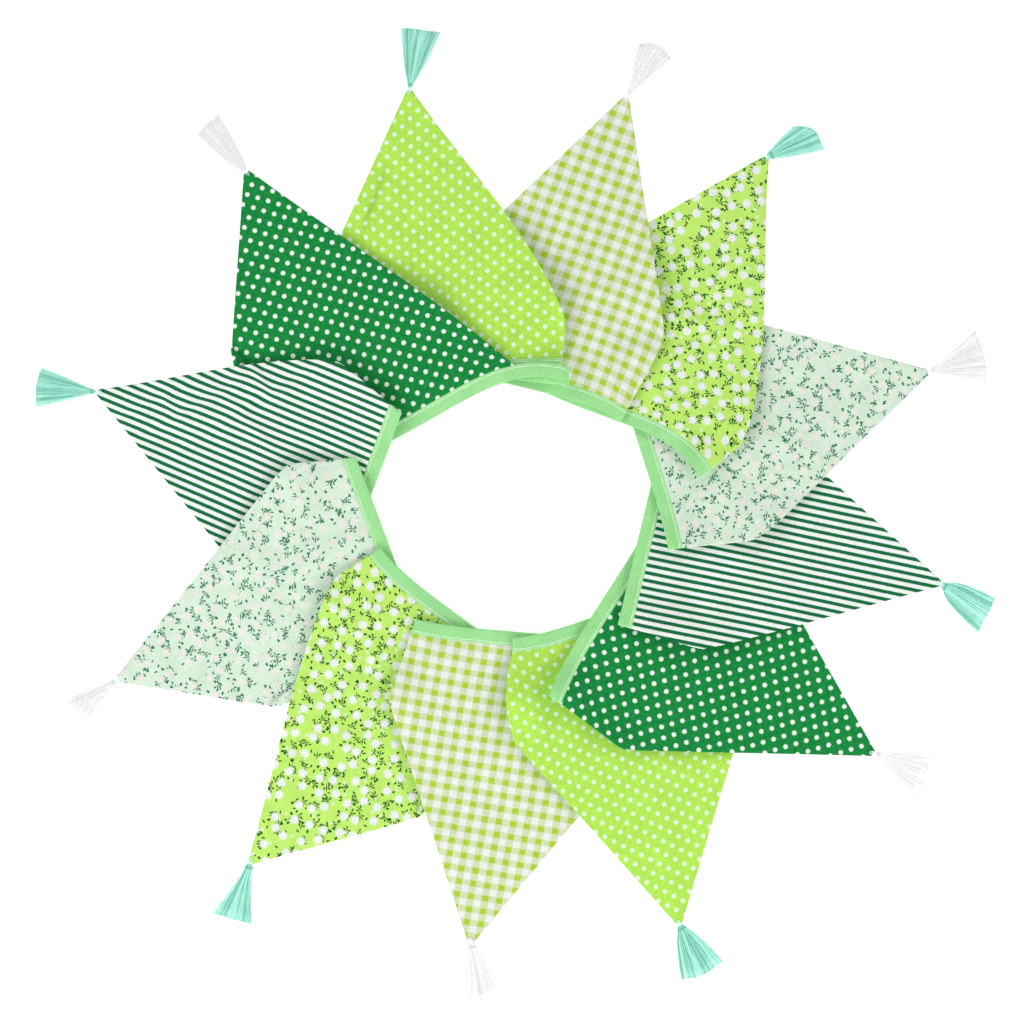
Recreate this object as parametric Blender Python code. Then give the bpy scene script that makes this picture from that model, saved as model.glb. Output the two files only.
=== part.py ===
"""Fabric bunting: twelve triangular cotton flags on one bias tape, with a tassel at each tip.

The garland lies on a level surface, pleated into a closed ring like the blades of a fan. Each
flag lies on the next one clockwise. At the clockwise end of a flag the tape and the flag's corner
turn under. The tape runs back below that flag to the other end of the next flag, where it turns
over onto it. Sizes are in millimetres and angles in degrees until place_mesh turns them to metres.
"""
import math
from collections import namedtuple

import bmesh
import bpy
from mathutils import Vector
from mathutils.geometry import tessellate_polygon

MM = 0.001

# The cloth and the way it lies
SHEET = 1.0              # thickness of a flag and of the folded tape
CLEARANCE = 0.6          # air between two layers that lie on each other
LEVEL = SHEET + CLEARANCE
STACK = 2 * LEVEL        # rise over one flag and the pleat that lies on it
BEND = LEVEL / 2         # mid-surface radius of a fold
BEND_STEPS = 3
RAMP = 70.0              # distance over which cloth comes down to the surface beside a flag
EDGE_MARGIN = 3.5        # distance beyond a flag's edge at which the cloth over it is still level
LAYERS_BELOW = 5         # flags that can lie under one point of a flag
CELL = 15.0              # spacing of the points on a flag

# The flags and the tape
FLAG_BASE = 234.0        # sewn edge of a flag
TIP_WIDTH = 4.0          # blunt end of a flag, where the tassel is tied
TAPE_WIDTH = 9.0
SEAM = 0.4               # parting between a flag's sewn edge and the tape
TAPE_EDGES = (SEAM + TAPE_WIDTH, SEAM)
FLAP_SEAM = 1.4          # the same parting on the corners that are folded away
TAPE_GAP = 7.0           # bare tape between two flags
TAPE_STEPS = 11          # stations of the tape along one flag
BACK_STEP = 18.0         # spacing of stations where the tape runs back
BOW_PEAK = 0.25          # place of the tape's greatest bow, as a share of its run
FIRST_RUN = 148.0        # tape along the first flag, whose far end is free
TAIL = 38.0              # bare tape that shows past the last flag
TAIL_BACK = 34.0         # end of that tape, folded back under itself
TAIL_TURN = 6.0          # slant of the folded end
FREE_END = 20.0          # bare tape past the first flag, hidden under the last one

# A tassel, measured from the flag's tip
TASSEL_GAP = 0.3         # between the flag's blunt tip and the tassel's knot
STRAND_WIDTH = 0.9
STRAND_HEIGHT = 0.8
STRAND_COUNT = 14
STRAND_ROWS = 3
ROOT_PITCH = 1.25        # between the roots of one row of strands
ROOT_RISE = 0.25         # underside of the lowest row at its roots
ROW_PITCH = 1.05
UNEVEN_ENDS = 1.4        # difference in length between strands
ROUND_END = 0.25         # how much shorter the outer strands are, as a share of the spread
UNEVEN_TURN = 5.3        # step in the wave that sets each strand's length

# One row for each flag, clockwise from the top. side and open_side are the directions of the
# clockwise and the other edge from the tip; open_length reaches from the tip to the fold on the
# other edge. end is the corner where the tape turns under, and heading the way it runs from there.
Flag = namedtuple(
    "Flag", "cloth tip_x tip_y side open_side open_length end_x end_y heading tape_bow side_bow")
FLAGS = (
    Flag("lime_dots",    -72, 295, 304.9, 244.9, 133,   34,  106, 184.9,  0.0, 7.0),
    Flag("gingham",       80, 290, 279.2, 222.8, 133,   79,   71, 161.9,  4.7, 0.0),
    Flag("lime_floral",  178, 248, 265.6, 209.2, 133,  138,   31, 151.5, 10.0, 6.5),
    Flag("mint_floral",  291,  98, 225.0, 164.1, 137,  118,  -24, 106.1,  1.5, 0.0),
    Flag("stripes",      300, -50, 195.4, 136.8, 130,   83,  -80,  76.5,  0.0, 1.0),
    Flag("green_dots",   253, -169, 179.1, 118.9, 130,  34, -132,  59.4, -2.7, 0.0),
    Flag("lime_dots",    117, -288, 132.3,  72.5, 140,   2,  -97,  15.8,  2.8, 0.0),
    Flag("gingham",      -29, -301, 108.7,  49.3, 130, -69,  -84, 353.9,  2.0, 0.0),
    Flag("lime_floral", -183, -245,  73.6,  14.8, 120, -99,  -31, 320.8,  3.7, 4.5),
    Flag("mint_floral", -276, -117,  51.9, 349.8, 108, -118,  36, 290.5,  0.0, 0.0),
    Flag("stripes",     -290,   84,   7.5, 308.2, 150,  -85,  74, 249.4,  0.0, 6.5),
    Flag("green_dots",  -186,  238, 323.9, 265.3, 124,   39,  96, 199.2, 16.0, 1.5),
)

# One row for each tassel: the way it points, its length from the tip and its width at the end
Tassel = namedtuple("Tassel", "yarn heading length spread")
TASSELS = (
    Tassel("mint",   78, 45, 28), Tassel("white",  57, 41, 23), Tassel("mint",   21, 39, 27),
    Tassel("white",  17, 41, 37), Tassel("mint",  327, 40, 25), Tassel("white", 336, 42, 36),
    Tassel("mint",  296, 40, 31), Tassel("white", 283, 43, 27), Tassel("mint",  255, 44, 27),
    Tassel("white", 217, 40, 22), Tassel("mint",  173, 43, 30), Tassel("white", 130, 45, 23),
)

# One row for each section of a strand: share of its length, and of its root's height it has lost
StrandSection = namedtuple("StrandSection", "share drop")
STRAND_SECTIONS = (
    StrandSection(0.0, 0.0),
    StrandSection(0.45, 0.75),
    StrandSection(1.0, 1.0),
)

# One row for each section of a tassel's knot and head: distance along it, width and height
HeadSection = namedtuple("HeadSection", "along width height")
HEAD_SECTIONS = (
    HeadSection(0.0, 1.4, 1.2),
    HeadSection(1.8, 3.0, 2.4),
    HeadSection(3.4, 1.8, 1.6),
    HeadSection(7.5, 4.2, 3.0),
    HeadSection(10.5, 6.6, 3.5),
)
HEAD_SIDES = 8

Finish = namedtuple("Finish", "colour roughness")
CLOTH_FINISHES = {
    "lime_dots": Finish((0.40, 0.83, 0.06), 0.85),
    "gingham": Finish((0.66, 0.78, 0.36), 0.85),
    "lime_floral": Finish((0.47, 0.82, 0.12), 0.85),
    "mint_floral": Finish((0.58, 0.83, 0.66), 0.85),
    "stripes": Finish((0.30, 0.60, 0.38), 0.85),
    "green_dots": Finish((0.01, 0.25, 0.05), 0.85),
}
TAPE_FINISH = Finish((0.33, 0.80, 0.32), 0.80)
YARN_FINISHES = {
    "mint": Finish((0.28, 0.74, 0.58), 0.45),
    "white": Finish((0.86, 0.86, 0.86), 0.45),
}

# A point of a layer: its place in plan, its height above the flag's own level and its normal
Node = namedtuple("Node", "x y z normal")


def direction(degrees):
    """Unit vector in plan."""
    return Vector((math.cos(math.radians(degrees)), math.sin(math.radians(degrees))))


def right_of(vector):
    """The vector turned a quarter turn clockwise: from the tape this points into the flag."""
    return Vector((vector.y, -vector.x))


def meet(point_a, vector_a, point_b, vector_b):
    """Where two lines in plan cross."""
    across = right_of(vector_b)
    return point_a + vector_a * ((point_b - point_a).dot(across) / vector_a.dot(across))


def split(length, step):
    """How many equal pieces of about the given step a length takes."""
    return max(1, round(length / step))


def bow_shape(share):
    """Bow of the tape along its run: nothing at both ends and 1 at BOW_PEAK."""
    power = 1 / BOW_PEAK - 1
    return share * (1 - share) ** power / (BOW_PEAK * (1 - BOW_PEAK) ** power)


class Lay:
    """Where one flag and its stretch of tape lie in plan."""

    def __init__(self, row):
        self.row = row
        self.tip = Vector((row.tip_x, row.tip_y))
        self.end = Vector((row.end_x, row.end_y))
        self.along = direction(row.heading)
        self.into = right_of(self.along)
        self.open_corner = self.tip + direction(row.open_side) * row.open_length
        self.run = FIRST_RUN
        self.set_start()

    def set_start(self):
        """The tape's first short piece, and how much of the flag's base is folded under there."""
        first = self.tape_point(1 / TAPE_STEPS) - self.end
        self.start = first.normalized()
        corner = meet(self.tip, direction(self.row.side), self.end, self.start)
        self.tuck = (self.end - corner).dot(self.start)

    def tape_point(self, share):
        """A point of the flag's sewn edge, at a share of the tape's run."""
        bow = self.into * self.row.tape_bow * bow_shape(share)
        return self.end + self.along * self.run * share + bow

    @property
    def far(self):
        """The point where the tape turns over."""
        return self.end + self.along * self.run


def lay_out():
    """Work out every flag's lay, so that each stretch of tape between two flags has its length."""
    lays = [Lay(row) for row in FLAGS]
    last = lays[-1]
    for index in range(1, len(lays)):
        lay, before = lays[index], lays[index - 1]
        for _ in range(4):
            tape = FLAG_BASE + TAPE_GAP - lay.tuck + before.tuck
            offset = before.end - lay.end
            level, aside = offset.dot(lay.along), offset.dot(lay.into)
            lay.run = (tape ** 2 - level ** 2 - aside ** 2) / (2 * (tape - level))
            lay.set_start()
    for index, lay in enumerate(lays):
        below = lays[(index + 1) % len(lays)]
        above = lays[index - 1]
        lay.back = (lay.end - below.far).normalized()
        lay.onward = (above.end - lay.far).normalized()
        if lay is last:
            lay.back = -direction(math.degrees(math.atan2(lay.start.y, lay.start.x)) + TAIL_TURN)
        lay.end_fold = outward_fold(lay.back + lay.start, lay.into)
        lay.far_fold = outward_fold(lay.along + lay.onward, lay.into)
        if lay is last:
            lay.first_share = TAIL / lay.run
            lay.shoulder = lay.tape_point(lay.first_share)
        else:
            lay.first_share = 0.0
            lay.shoulder = meet(lay.end, lay.end_fold, lay.tip, direction(lay.row.side))
        lay.flap = FLAG_BASE - lay.tuck - lay.run
        lay.outline = flag_outline(lay)
    return lays


def outward_fold(vector, into):
    """Direction of a fold line, pointing from the tape into the flag."""
    unit = vector.normalized()
    return unit if unit.dot(into) > 0 else -unit


def fold_point(point, fold, into, inward):
    """The point of a fold line that lies the given distance to the tape's side of the seam."""
    return point - fold * (inward / fold.dot(into))


def flag_outline(lay):
    """Corners in plan of a flag with its tape."""
    half = right_of(((lay.end + lay.far) / 2 - lay.tip).normalized()) * (TIP_WIDTH / 2)
    corners = [lay.tip - half, lay.shoulder]
    if lay.first_share:
        corners.append(lay.end)
    corners.append(fold_point(lay.end, lay.end_fold, lay.into, SEAM + TAPE_WIDTH))
    corners.append(fold_point(lay.far, lay.far_fold, lay.into, SEAM + TAPE_WIDTH))
    corners += [lay.open_corner, lay.tip + half]
    return corners


def distance_outside(outline, point):
    """Distance in plan from a point to an outline, or zero inside it."""
    nearest, inside = math.inf, False
    for corner, following in zip(outline, outline[1:] + outline[:1]):
        edge, reach = following - corner, point - corner
        share = min(1.0, max(0.0, reach.dot(edge) / edge.length_squared))
        nearest = min(nearest, (reach - edge * share).length)
        if (corner.y > point.y) != (following.y > point.y):
            crossing = corner.x + edge.x * (point.y - corner.y) / edge.y
            inside ^= point.x < crossing
    return 0.0 if inside else nearest


def level_at(lays, index, point):
    """Mid-surface height of a flag over the flags that lie under it."""
    height = SHEET / 2
    for step in range(1, LAYERS_BELOW + 1):
        outline = lays[(index + step) % len(lays)].outline
        share = 1 - (distance_outside(outline, point) - EDGE_MARGIN) / RAMP
        share = min(1.0, max(0.0, share))
        height += STACK * share * share * (3 - 2 * share)
    return height


def bend(fold, into, away, over):
    """Offsets in plan and height, and the normal, at each step of a half turn about a fold."""
    side = right_of(fold)
    if side.dot(away) < 0:
        side = -side
    turn = 1 if over else -1
    steps = []
    for step in range(1, BEND_STEPS + 1):
        angle = math.pi * step / BEND_STEPS
        offset = side * (BEND * math.sin(angle))
        rise = turn * BEND * (1 - math.cos(angle))
        flat = side * (-turn * math.sin(angle))
        steps.append((offset, rise, Vector((flat.x, flat.y, math.cos(angle)))))
    return steps


UP = Vector((0, 0, 1))


class Sheet:
    """A thin closed solid, built from rows of mid-surface nodes joined one to the next."""

    def __init__(self):
        self.nodes = []
        self.triangles = []

    def add_row(self, nodes):
        first = len(self.nodes)
        self.nodes += nodes
        return list(range(first, len(self.nodes)))

    def join(self, row, following):
        """Fill between two rows of any lengths with triangles that face up."""
        here = there = 0
        while here < len(row) - 1 or there < len(following) - 1:
            next_here = (here + 1) / max(1, len(row) - 1)
            next_there = (there + 1) / max(1, len(following) - 1)
            step_here = here < len(row) - 1
            if step_here and there < len(following) - 1:
                step_here = next_here <= next_there
            if step_here:
                self.triangles.append((row[here], row[here + 1], following[there]))
                here += 1
            else:
                self.triangles.append((row[here], following[there + 1], following[there]))
                there += 1

    def solid(self):
        """Vertices and faces of the sheet at its full thickness."""
        half, count = SHEET / 2, len(self.nodes)
        vertices = [Vector((n.x, n.y, n.z)) + n.normal * half for n in self.nodes]
        vertices += [Vector((n.x, n.y, n.z)) - n.normal * half for n in self.nodes]
        faces = list(self.triangles)
        faces += [(c + count, b + count, a + count) for a, b, c in self.triangles]
        edges = {(t[i], t[(i + 1) % 3]) for t in self.triangles for i in range(3)}
        for a, b in sorted(edges):
            if (b, a) not in edges:
                faces.append((b, a, a + count))
                faces.append((b, a + count, b + count))
        return vertices, faces


def flag_sheet(lays, index):
    """One flag, with the corner that is folded under and the one that is folded over."""
    lay, sheet = lays[index], Sheet()

    def node(point, rise=0.0, normal=UP):
        return Node(point.x, point.y, level_at(lays, index, point) + rise, normal)

    rows, shoulder_row, open_row = flag_rows(lay)
    placed = [sheet.add_row([node(point) for point in row]) for row in rows]
    for row, following in zip(placed, placed[1:]):
        sheet.join(row, following)
    if not lay.first_share:
        under = [row[0] for row in placed[shoulder_row:]]
        corner = lay.end - lay.back * lay.tuck + lay.into * (FLAP_SEAM - SEAM)
        add_flap(sheet, node, under, corner, lay.end_fold, lay.into, -lay.start, False)
    over = [row[-1] for row in reversed(placed[open_row:])]
    corner = lay.far + lay.onward * lay.flap + lay.into * (FLAP_SEAM - SEAM)
    fold = (lay.open_corner - lay.far).normalized()
    add_flap(sheet, node, over, corner, fold, lay.into, lay.along, True)
    return sheet


def flag_rows(lay):
    """Rows of plan points across a flag's face, from the tip to the sewn edge."""
    half = lay.outline[-1] - lay.tip
    side_bow = right_of(lay.tip - lay.shoulder).normalized() * lay.row.side_bow
    left, right = lay.tip - half, lay.tip + half
    side_length = (lay.shoulder - left).length
    open_share = min(1.0, lay.row.open_length / side_length)
    long_rows = split(lay.row.open_length, CELL)
    mid_rows = split(side_length * (1 - open_share), CELL)
    fold_rows = 0 if lay.first_share else split((lay.end - lay.shoulder).length, CELL)
    right_rows = mid_rows + fold_rows
    base = [lay.tape_point(share) for share in tape_shares(lay)]
    rows = []
    for step in range(long_rows + mid_rows + fold_rows + 1):
        if step <= long_rows:
            share = open_share * step / long_rows
            right_point = right.lerp(lay.open_corner, step / long_rows)
        else:
            share = open_share + (1 - open_share) * (step - long_rows) / mid_rows
            right_point = lay.open_corner.lerp(lay.far, (step - long_rows) / right_rows)
        if step <= long_rows + mid_rows:
            left_point = left.lerp(lay.shoulder, share) + side_bow * 4 * share * (1 - share)
        else:
            left_point = lay.shoulder.lerp(lay.end, (step - long_rows - mid_rows) / fold_rows)
        pieces = split((right_point - left_point).length, CELL)
        weight = (step / (long_rows + mid_rows + fold_rows)) ** 3
        row = []
        for piece in range(pieces + 1):
            across = piece / pieces
            bow = base_bow(base, across) * weight
            row.append(left_point.lerp(right_point, across) + bow)
        rows.append(row)
    rows[-1] = base
    return rows, long_rows + mid_rows, long_rows


def base_bow(base, across):
    """How far the sewn edge stands off the straight line between its ends."""
    place = across * (len(base) - 1)
    low = min(int(place), len(base) - 2)
    point = base[low].lerp(base[low + 1], place - low)
    chord = (base[-1] - base[0]).normalized()
    normal = right_of(chord)
    return normal * (point - base[0]).dot(normal)


def add_flap(sheet, node, edge, corner, fold, into, away, over):
    """Fold the cloth beyond a row of nodes flat onto the flag, down to the folded corner."""
    feet = [Vector((sheet.nodes[i].x, sheet.nodes[i].y)) for i in edge]
    row = edge
    for offset, rise, normal in bend(fold, into, away, over):
        following = sheet.add_row([node(foot + offset, rise, normal) for foot in feet])
        sheet.join(row, following)
        row = following
    rise = LEVEL if over else -LEVEL
    reach = max((corner - foot).dot(-right_of(fold)) ** 2 for foot in feet) ** 0.5
    steps = split(reach, CELL)
    for step in range(1, steps):
        share = step / steps
        start, stop = feet[0].lerp(corner, share), feet[-1].lerp(corner, share)
        pieces = split((stop - start).length, CELL)
        points = [start.lerp(stop, piece / pieces) for piece in range(pieces + 1)]
        following = sheet.add_row([node(point, rise, -UP) for point in points])
        sheet.join(row, following)
        row = following
    sheet.join(row, sheet.add_row([node(corner, rise, -UP)]))


def tape_shares(lay, from_end=False):
    """Stations of the tape along a flag's sewn edge, or from the tape's turn if that is asked."""
    first = lay.first_share
    shares = [first + (1 - first) * step / TAPE_STEPS for step in range(TAPE_STEPS + 1)]
    if from_end and first:
        shares = [0.0, first / 3, first * 2 / 3] + shares
    return shares


def tape_sheet(lays):
    """The whole tape in one piece, from the free end at the last flag to that at the first."""
    sheet = Sheet()
    rows = []
    for index in reversed(range(len(lays))):
        lay = lays[index]

        def node(point, rise=0.0, normal=UP, index=index):
            return Node(point.x, point.y, level_at(lays, index, point) + rise, normal)

        end = [fold_point(lay.end, lay.end_fold, lay.into, inward) for inward in TAPE_EDGES]
        far = [fold_point(lay.far, lay.far_fold, lay.into, inward) for inward in TAPE_EDGES]
        if lay is lays[-1]:
            free = [point - lay.back * TAIL_BACK for point in end]
            for share in (0.0, 0.5):
                rows.append([node(a.lerp(b, share), -LEVEL, -UP) for a, b in zip(free, end)])
        for offset, rise, normal in reversed(bend(lay.end_fold, lay.into, -lay.start, False)):
            rows.append([node(point + offset, rise, normal) for point in end])
        rows.append([node(point) for point in end])
        for points in offset_points(lay):
            rows.append([node(point) for point in points])
        rows.append([node(point) for point in far])
        for offset, rise, normal in bend(lay.far_fold, lay.into, lay.along, True):
            rows.append([node(point + offset, rise, normal) for point in far])
        rows += back_rows(lays, index, far)
    placed = [sheet.add_row(row) for row in rows]
    for row, following in zip(placed, placed[1:]):
        sheet.join(row, following)
    return sheet


def offset_points(lay):
    """Both edges of the tape at each station between its two turns."""
    points = [lay.tape_point(share) for share in tape_shares(lay, from_end=True)]
    stations = []
    for before, here, after in zip(points, points[1:], points[2:]):
        first = right_of((here - before).normalized())
        second = right_of((after - here).normalized())
        normal = (first + second).normalized()
        stretch = 1 / normal.dot(first)
        stations.append([here - normal * (inward * stretch) for inward in TAPE_EDGES])
    return stations


def back_rows(lays, index, far):
    """Tape that runs back between a flag and the one that lies on it."""
    lay, above = lays[index], lays[index - 1]
    free = index == 0
    if free:
        length = lay.flap + TAPE_GAP + FREE_END
        goal = [point + lay.onward * length for point in far]
    else:
        goal = [fold_point(above.end, above.end_fold, above.into, inward)
                for inward in TAPE_EDGES]
        length = (above.end - lay.far).length
    pieces = split(length, BACK_STEP)
    rows = []
    for piece in range(1, pieces + 1 if free else pieces):
        share = piece / pieces
        row = []
        for start, stop in zip(far, goal):
            point = start.lerp(stop, share)
            from_below = level_at(lays, index, point) + LEVEL
            from_above = level_at(lays, (index - 1) % len(lays), point) - LEVEL
            height = from_below + (from_above - from_below) * share
            row.append(Node(point.x, point.y, height, -UP))
        rows.append(row)
    return rows


def tassel_start(lay, row):
    """Distance from the tip to the knot, larger where the tassel points aside."""
    aside = direction(row.heading).angle(lay.tip - (lay.end + lay.far) / 2)
    return (TASSEL_GAP + HEAD_SECTIONS[0].width / 2 * math.sin(aside)) / math.cos(aside)


def tassel_mesh(row, start):
    """A knot and a head with strands that fan out over the surface, pointing along +X."""
    mesh = bmesh.new()
    rings = []
    for section in HEAD_SECTIONS:
        ring = []
        for side in range(HEAD_SIDES):
            angle = 2 * math.pi * (side + 0.5) / HEAD_SIDES
            y = section.width / 2 * math.cos(angle) / math.cos(math.pi / HEAD_SIDES)
            z = section.height / 2 * (1 + math.sin(angle) / math.cos(math.pi / HEAD_SIDES))
            ring.append(mesh.verts.new((start + section.along, y, z)))
        rings.append(ring)
    for ring, following in zip(rings, rings[1:]):
        for side in range(HEAD_SIDES):
            after = (side + 1) % HEAD_SIDES
            mesh.faces.new((ring[side], following[side], following[after], ring[after]))
    mesh.faces.new(rings[0])
    root_x = start + HEAD_SECTIONS[-1].along
    roots = [add_strand(mesh, row, number, root_x) for number in range(STRAND_COUNT)]
    loops = [rings[-1]] + roots
    corners = [corner for loop in loops for corner in loop]
    flat_loops = [[Vector((v.co.y, v.co.z, 0)) for v in loop] for loop in loops]
    for triangle in tessellate_polygon(flat_loops):
        mesh.faces.new([corners[i] for i in triangle])
    bmesh.ops.recalc_face_normals(mesh, faces=mesh.faces)
    return mesh


def add_strand(mesh, row, number, root_x):
    """One three-sided strand from the head's end face to the surface; returns its root."""
    tier = number % STRAND_ROWS
    in_tier = (STRAND_COUNT - tier + STRAND_ROWS - 1) // STRAND_ROWS
    place = number // STRAND_ROWS - (in_tier - 1) / 2
    root_y = place * ROOT_PITCH
    root_z = ROOT_RISE + tier * ROW_PITCH
    fan = number / (STRAND_COUNT - 1) - 0.5
    uneven = (1 + math.sin(UNEVEN_TURN * number + row.heading)) / 2
    end_x = row.length - UNEVEN_ENDS * uneven - ROUND_END * row.spread * fan ** 2
    end_y = fan * (row.spread - STRAND_WIDTH)
    sections = []
    for section in STRAND_SECTIONS:
        x = root_x + (end_x - root_x) * section.share
        y = root_y + (end_y - root_y) * section.share
        z = root_z * (1 - section.drop)
        sections.append([mesh.verts.new((x, y - STRAND_WIDTH / 2, z)),
                         mesh.verts.new((x, y + STRAND_WIDTH / 2, z)),
                         mesh.verts.new((x, y, z + STRAND_HEIGHT))])
    for section, following in zip(sections, sections[1:]):
        for corner in range(3):
            after = (corner + 1) % 3
            mesh.faces.new((section[corner], following[corner], following[after], section[after]))
    mesh.faces.new(sections[-1])
    return sections[0]


def make_material(name, finish):
    """A Principled material with one colour and roughness."""
    material = bpy.data.materials.new(name)
    material.use_nodes = True
    shader = material.node_tree.nodes["Principled BSDF"]
    shader.inputs["Base Color"].default_value = (*finish.colour, 1.0)
    shader.inputs["Roughness"].default_value = finish.roughness
    shader.inputs["Metallic"].default_value = 0.0
    return material


def place_mesh(name, mesh, finish, garland):
    """Turn a mesh in millimetres into an object of the garland."""
    bmesh.ops.scale(mesh, vec=(MM, MM, MM), verts=mesh.verts)
    bmesh.ops.triangulate(mesh, faces=mesh.faces)
    data = bpy.data.meshes.new(name)
    mesh.to_mesh(data)
    mesh.free()
    data.materials.append(make_material(name, finish))
    obj = bpy.data.objects.new(name, data)
    bpy.context.scene.collection.objects.link(obj)
    obj.parent = garland
    return obj


def sheet_mesh(sheet):
    """The bmesh of a sheet's solid."""
    vertices, faces = sheet.solid()
    mesh = bmesh.new()
    corners = [mesh.verts.new(vertex) for vertex in vertices]
    for face in faces:
        mesh.faces.new([corners[i] for i in face])
    return mesh


def centre_in_plan(objects):
    """Middle of the garland's box in plan."""
    bpy.context.view_layer.update()
    corners = [obj.matrix_world @ vertex.co for obj in objects for vertex in obj.data.vertices]
    return Vector(((min(c.x for c in corners) + max(c.x for c in corners)) / 2,
                   (min(c.y for c in corners) + max(c.y for c in corners)) / 2, 0.0))


def main():
    for old in list(bpy.data.objects):
        bpy.data.objects.remove(old, do_unlink=True)
    garland = bpy.data.objects.new("garland", None)
    bpy.context.scene.collection.objects.link(garland)
    lays = lay_out()
    built = []
    for index, lay in enumerate(lays):
        name = f"flag_{index + 1:02d}_{lay.row.cloth}"
        finish = CLOTH_FINISHES[lay.row.cloth]
        built.append(place_mesh(name, sheet_mesh(flag_sheet(lays, index)), finish, garland))
    built.append(place_mesh("bias_tape", sheet_mesh(tape_sheet(lays)), TAPE_FINISH, garland))
    for index, (lay, row) in enumerate(zip(lays, TASSELS)):
        name = f"tassel_{index + 1:02d}_{row.yarn}"
        mesh = tassel_mesh(row, tassel_start(lay, row))
        tassel = place_mesh(name, mesh, YARN_FINISHES[row.yarn], garland)
        tassel.rotation_euler.z = math.radians(row.heading)
        tassel.location = (lay.tip.x * MM, lay.tip.y * MM, 0.0)
        tassel.data.shade_smooth()
        built.append(tassel)
    garland.location = -centre_in_plan(built)


main()
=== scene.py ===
"""Looks of a fabric bunting: twelve triangular cotton flags on a bias tape, laid in a pleated ring.

Each flag is two layers of printed cotton, turned and pressed, with a corner folded away at either
end of its sewn edge. One folded tape runs through the whole ring, and a silky tassel hangs from
every tip. Sizes are in millimetres, and angles in degrees, until a mesh is made in metres.
"""
import math
import random
from collections import namedtuple

import bpy
import numpy as np
from mathutils import Matrix, Vector, noise


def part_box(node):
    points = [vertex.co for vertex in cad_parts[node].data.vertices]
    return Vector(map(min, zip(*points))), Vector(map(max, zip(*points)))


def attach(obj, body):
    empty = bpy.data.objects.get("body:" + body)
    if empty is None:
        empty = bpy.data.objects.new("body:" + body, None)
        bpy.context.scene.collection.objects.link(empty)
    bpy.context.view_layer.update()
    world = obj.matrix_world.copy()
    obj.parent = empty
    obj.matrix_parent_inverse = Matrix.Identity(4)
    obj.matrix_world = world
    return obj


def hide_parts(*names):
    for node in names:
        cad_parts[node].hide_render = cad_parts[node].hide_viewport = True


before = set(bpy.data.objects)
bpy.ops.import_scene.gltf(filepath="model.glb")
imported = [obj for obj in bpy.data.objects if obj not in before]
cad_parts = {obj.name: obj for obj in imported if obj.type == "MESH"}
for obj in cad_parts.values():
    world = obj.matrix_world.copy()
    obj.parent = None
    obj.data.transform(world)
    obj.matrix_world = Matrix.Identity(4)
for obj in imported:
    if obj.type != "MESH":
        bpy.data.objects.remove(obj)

bl_info = {
    "name": "Fabric Bunting",
    "version": (1, 0, 0),
    "blender": (4, 5, 0),
    "location": "View3D > Sidebar > Bunting",
    "description": "Builds a ring of printed cotton flags on a bias tape, with a tassel at each tip",
    "category": "Add Mesh",
}

MM = 0.001
UP = Vector((0, 0, 1))
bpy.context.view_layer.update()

# How the garland lies: the same lay as the solids it dresses
SOLID_SHEET = 1.0        # thickness of the solids' sheets, whose middle surfaces are kept
LEVEL = 1.6              # rise from one layer's middle to that of the next one
STACK = 2 * LEVEL        # rise over one flag and the pleat that lies on it
BEND = LEVEL / 2         # mid-surface radius of a fold
RAMP = 70.0              # distance over which cloth comes down to the surface beside a flag
EDGE_MARGIN = 3.5        # distance beyond a flag's edge at which the cloth over it is still level
LAYERS_BELOW = 5         # flags that can lie under one point of a flag
FLAG_BASE = 234.0        # sewn edge of a flag
TIP_WIDTH = 4.0          # blunt end of a flag, where the tassel is tied
TAPE_WIDTH = 9.0
SEAM = 0.4               # parting between the sewn edge and the solid tape
FLAP_SEAM = 1.4          # the same parting on the corners that are folded away
TAPE_GAP = 7.0           # bare tape between two flags
TAPE_STEPS = 11          # stations of the tape along one flag that settle its direction
FIRST_RUN = 148.0        # tape along the first flag, whose far end is free
TAIL = 34.0              # bare tape that shows past the last flag
TAIL_BACK = 34.0         # end of that tape, folded back under itself
TAIL_TURN = 6.0          # slant of the folded end
FREE_END = 20.0          # bare tape past the first flag, hidden under the last one

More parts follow.
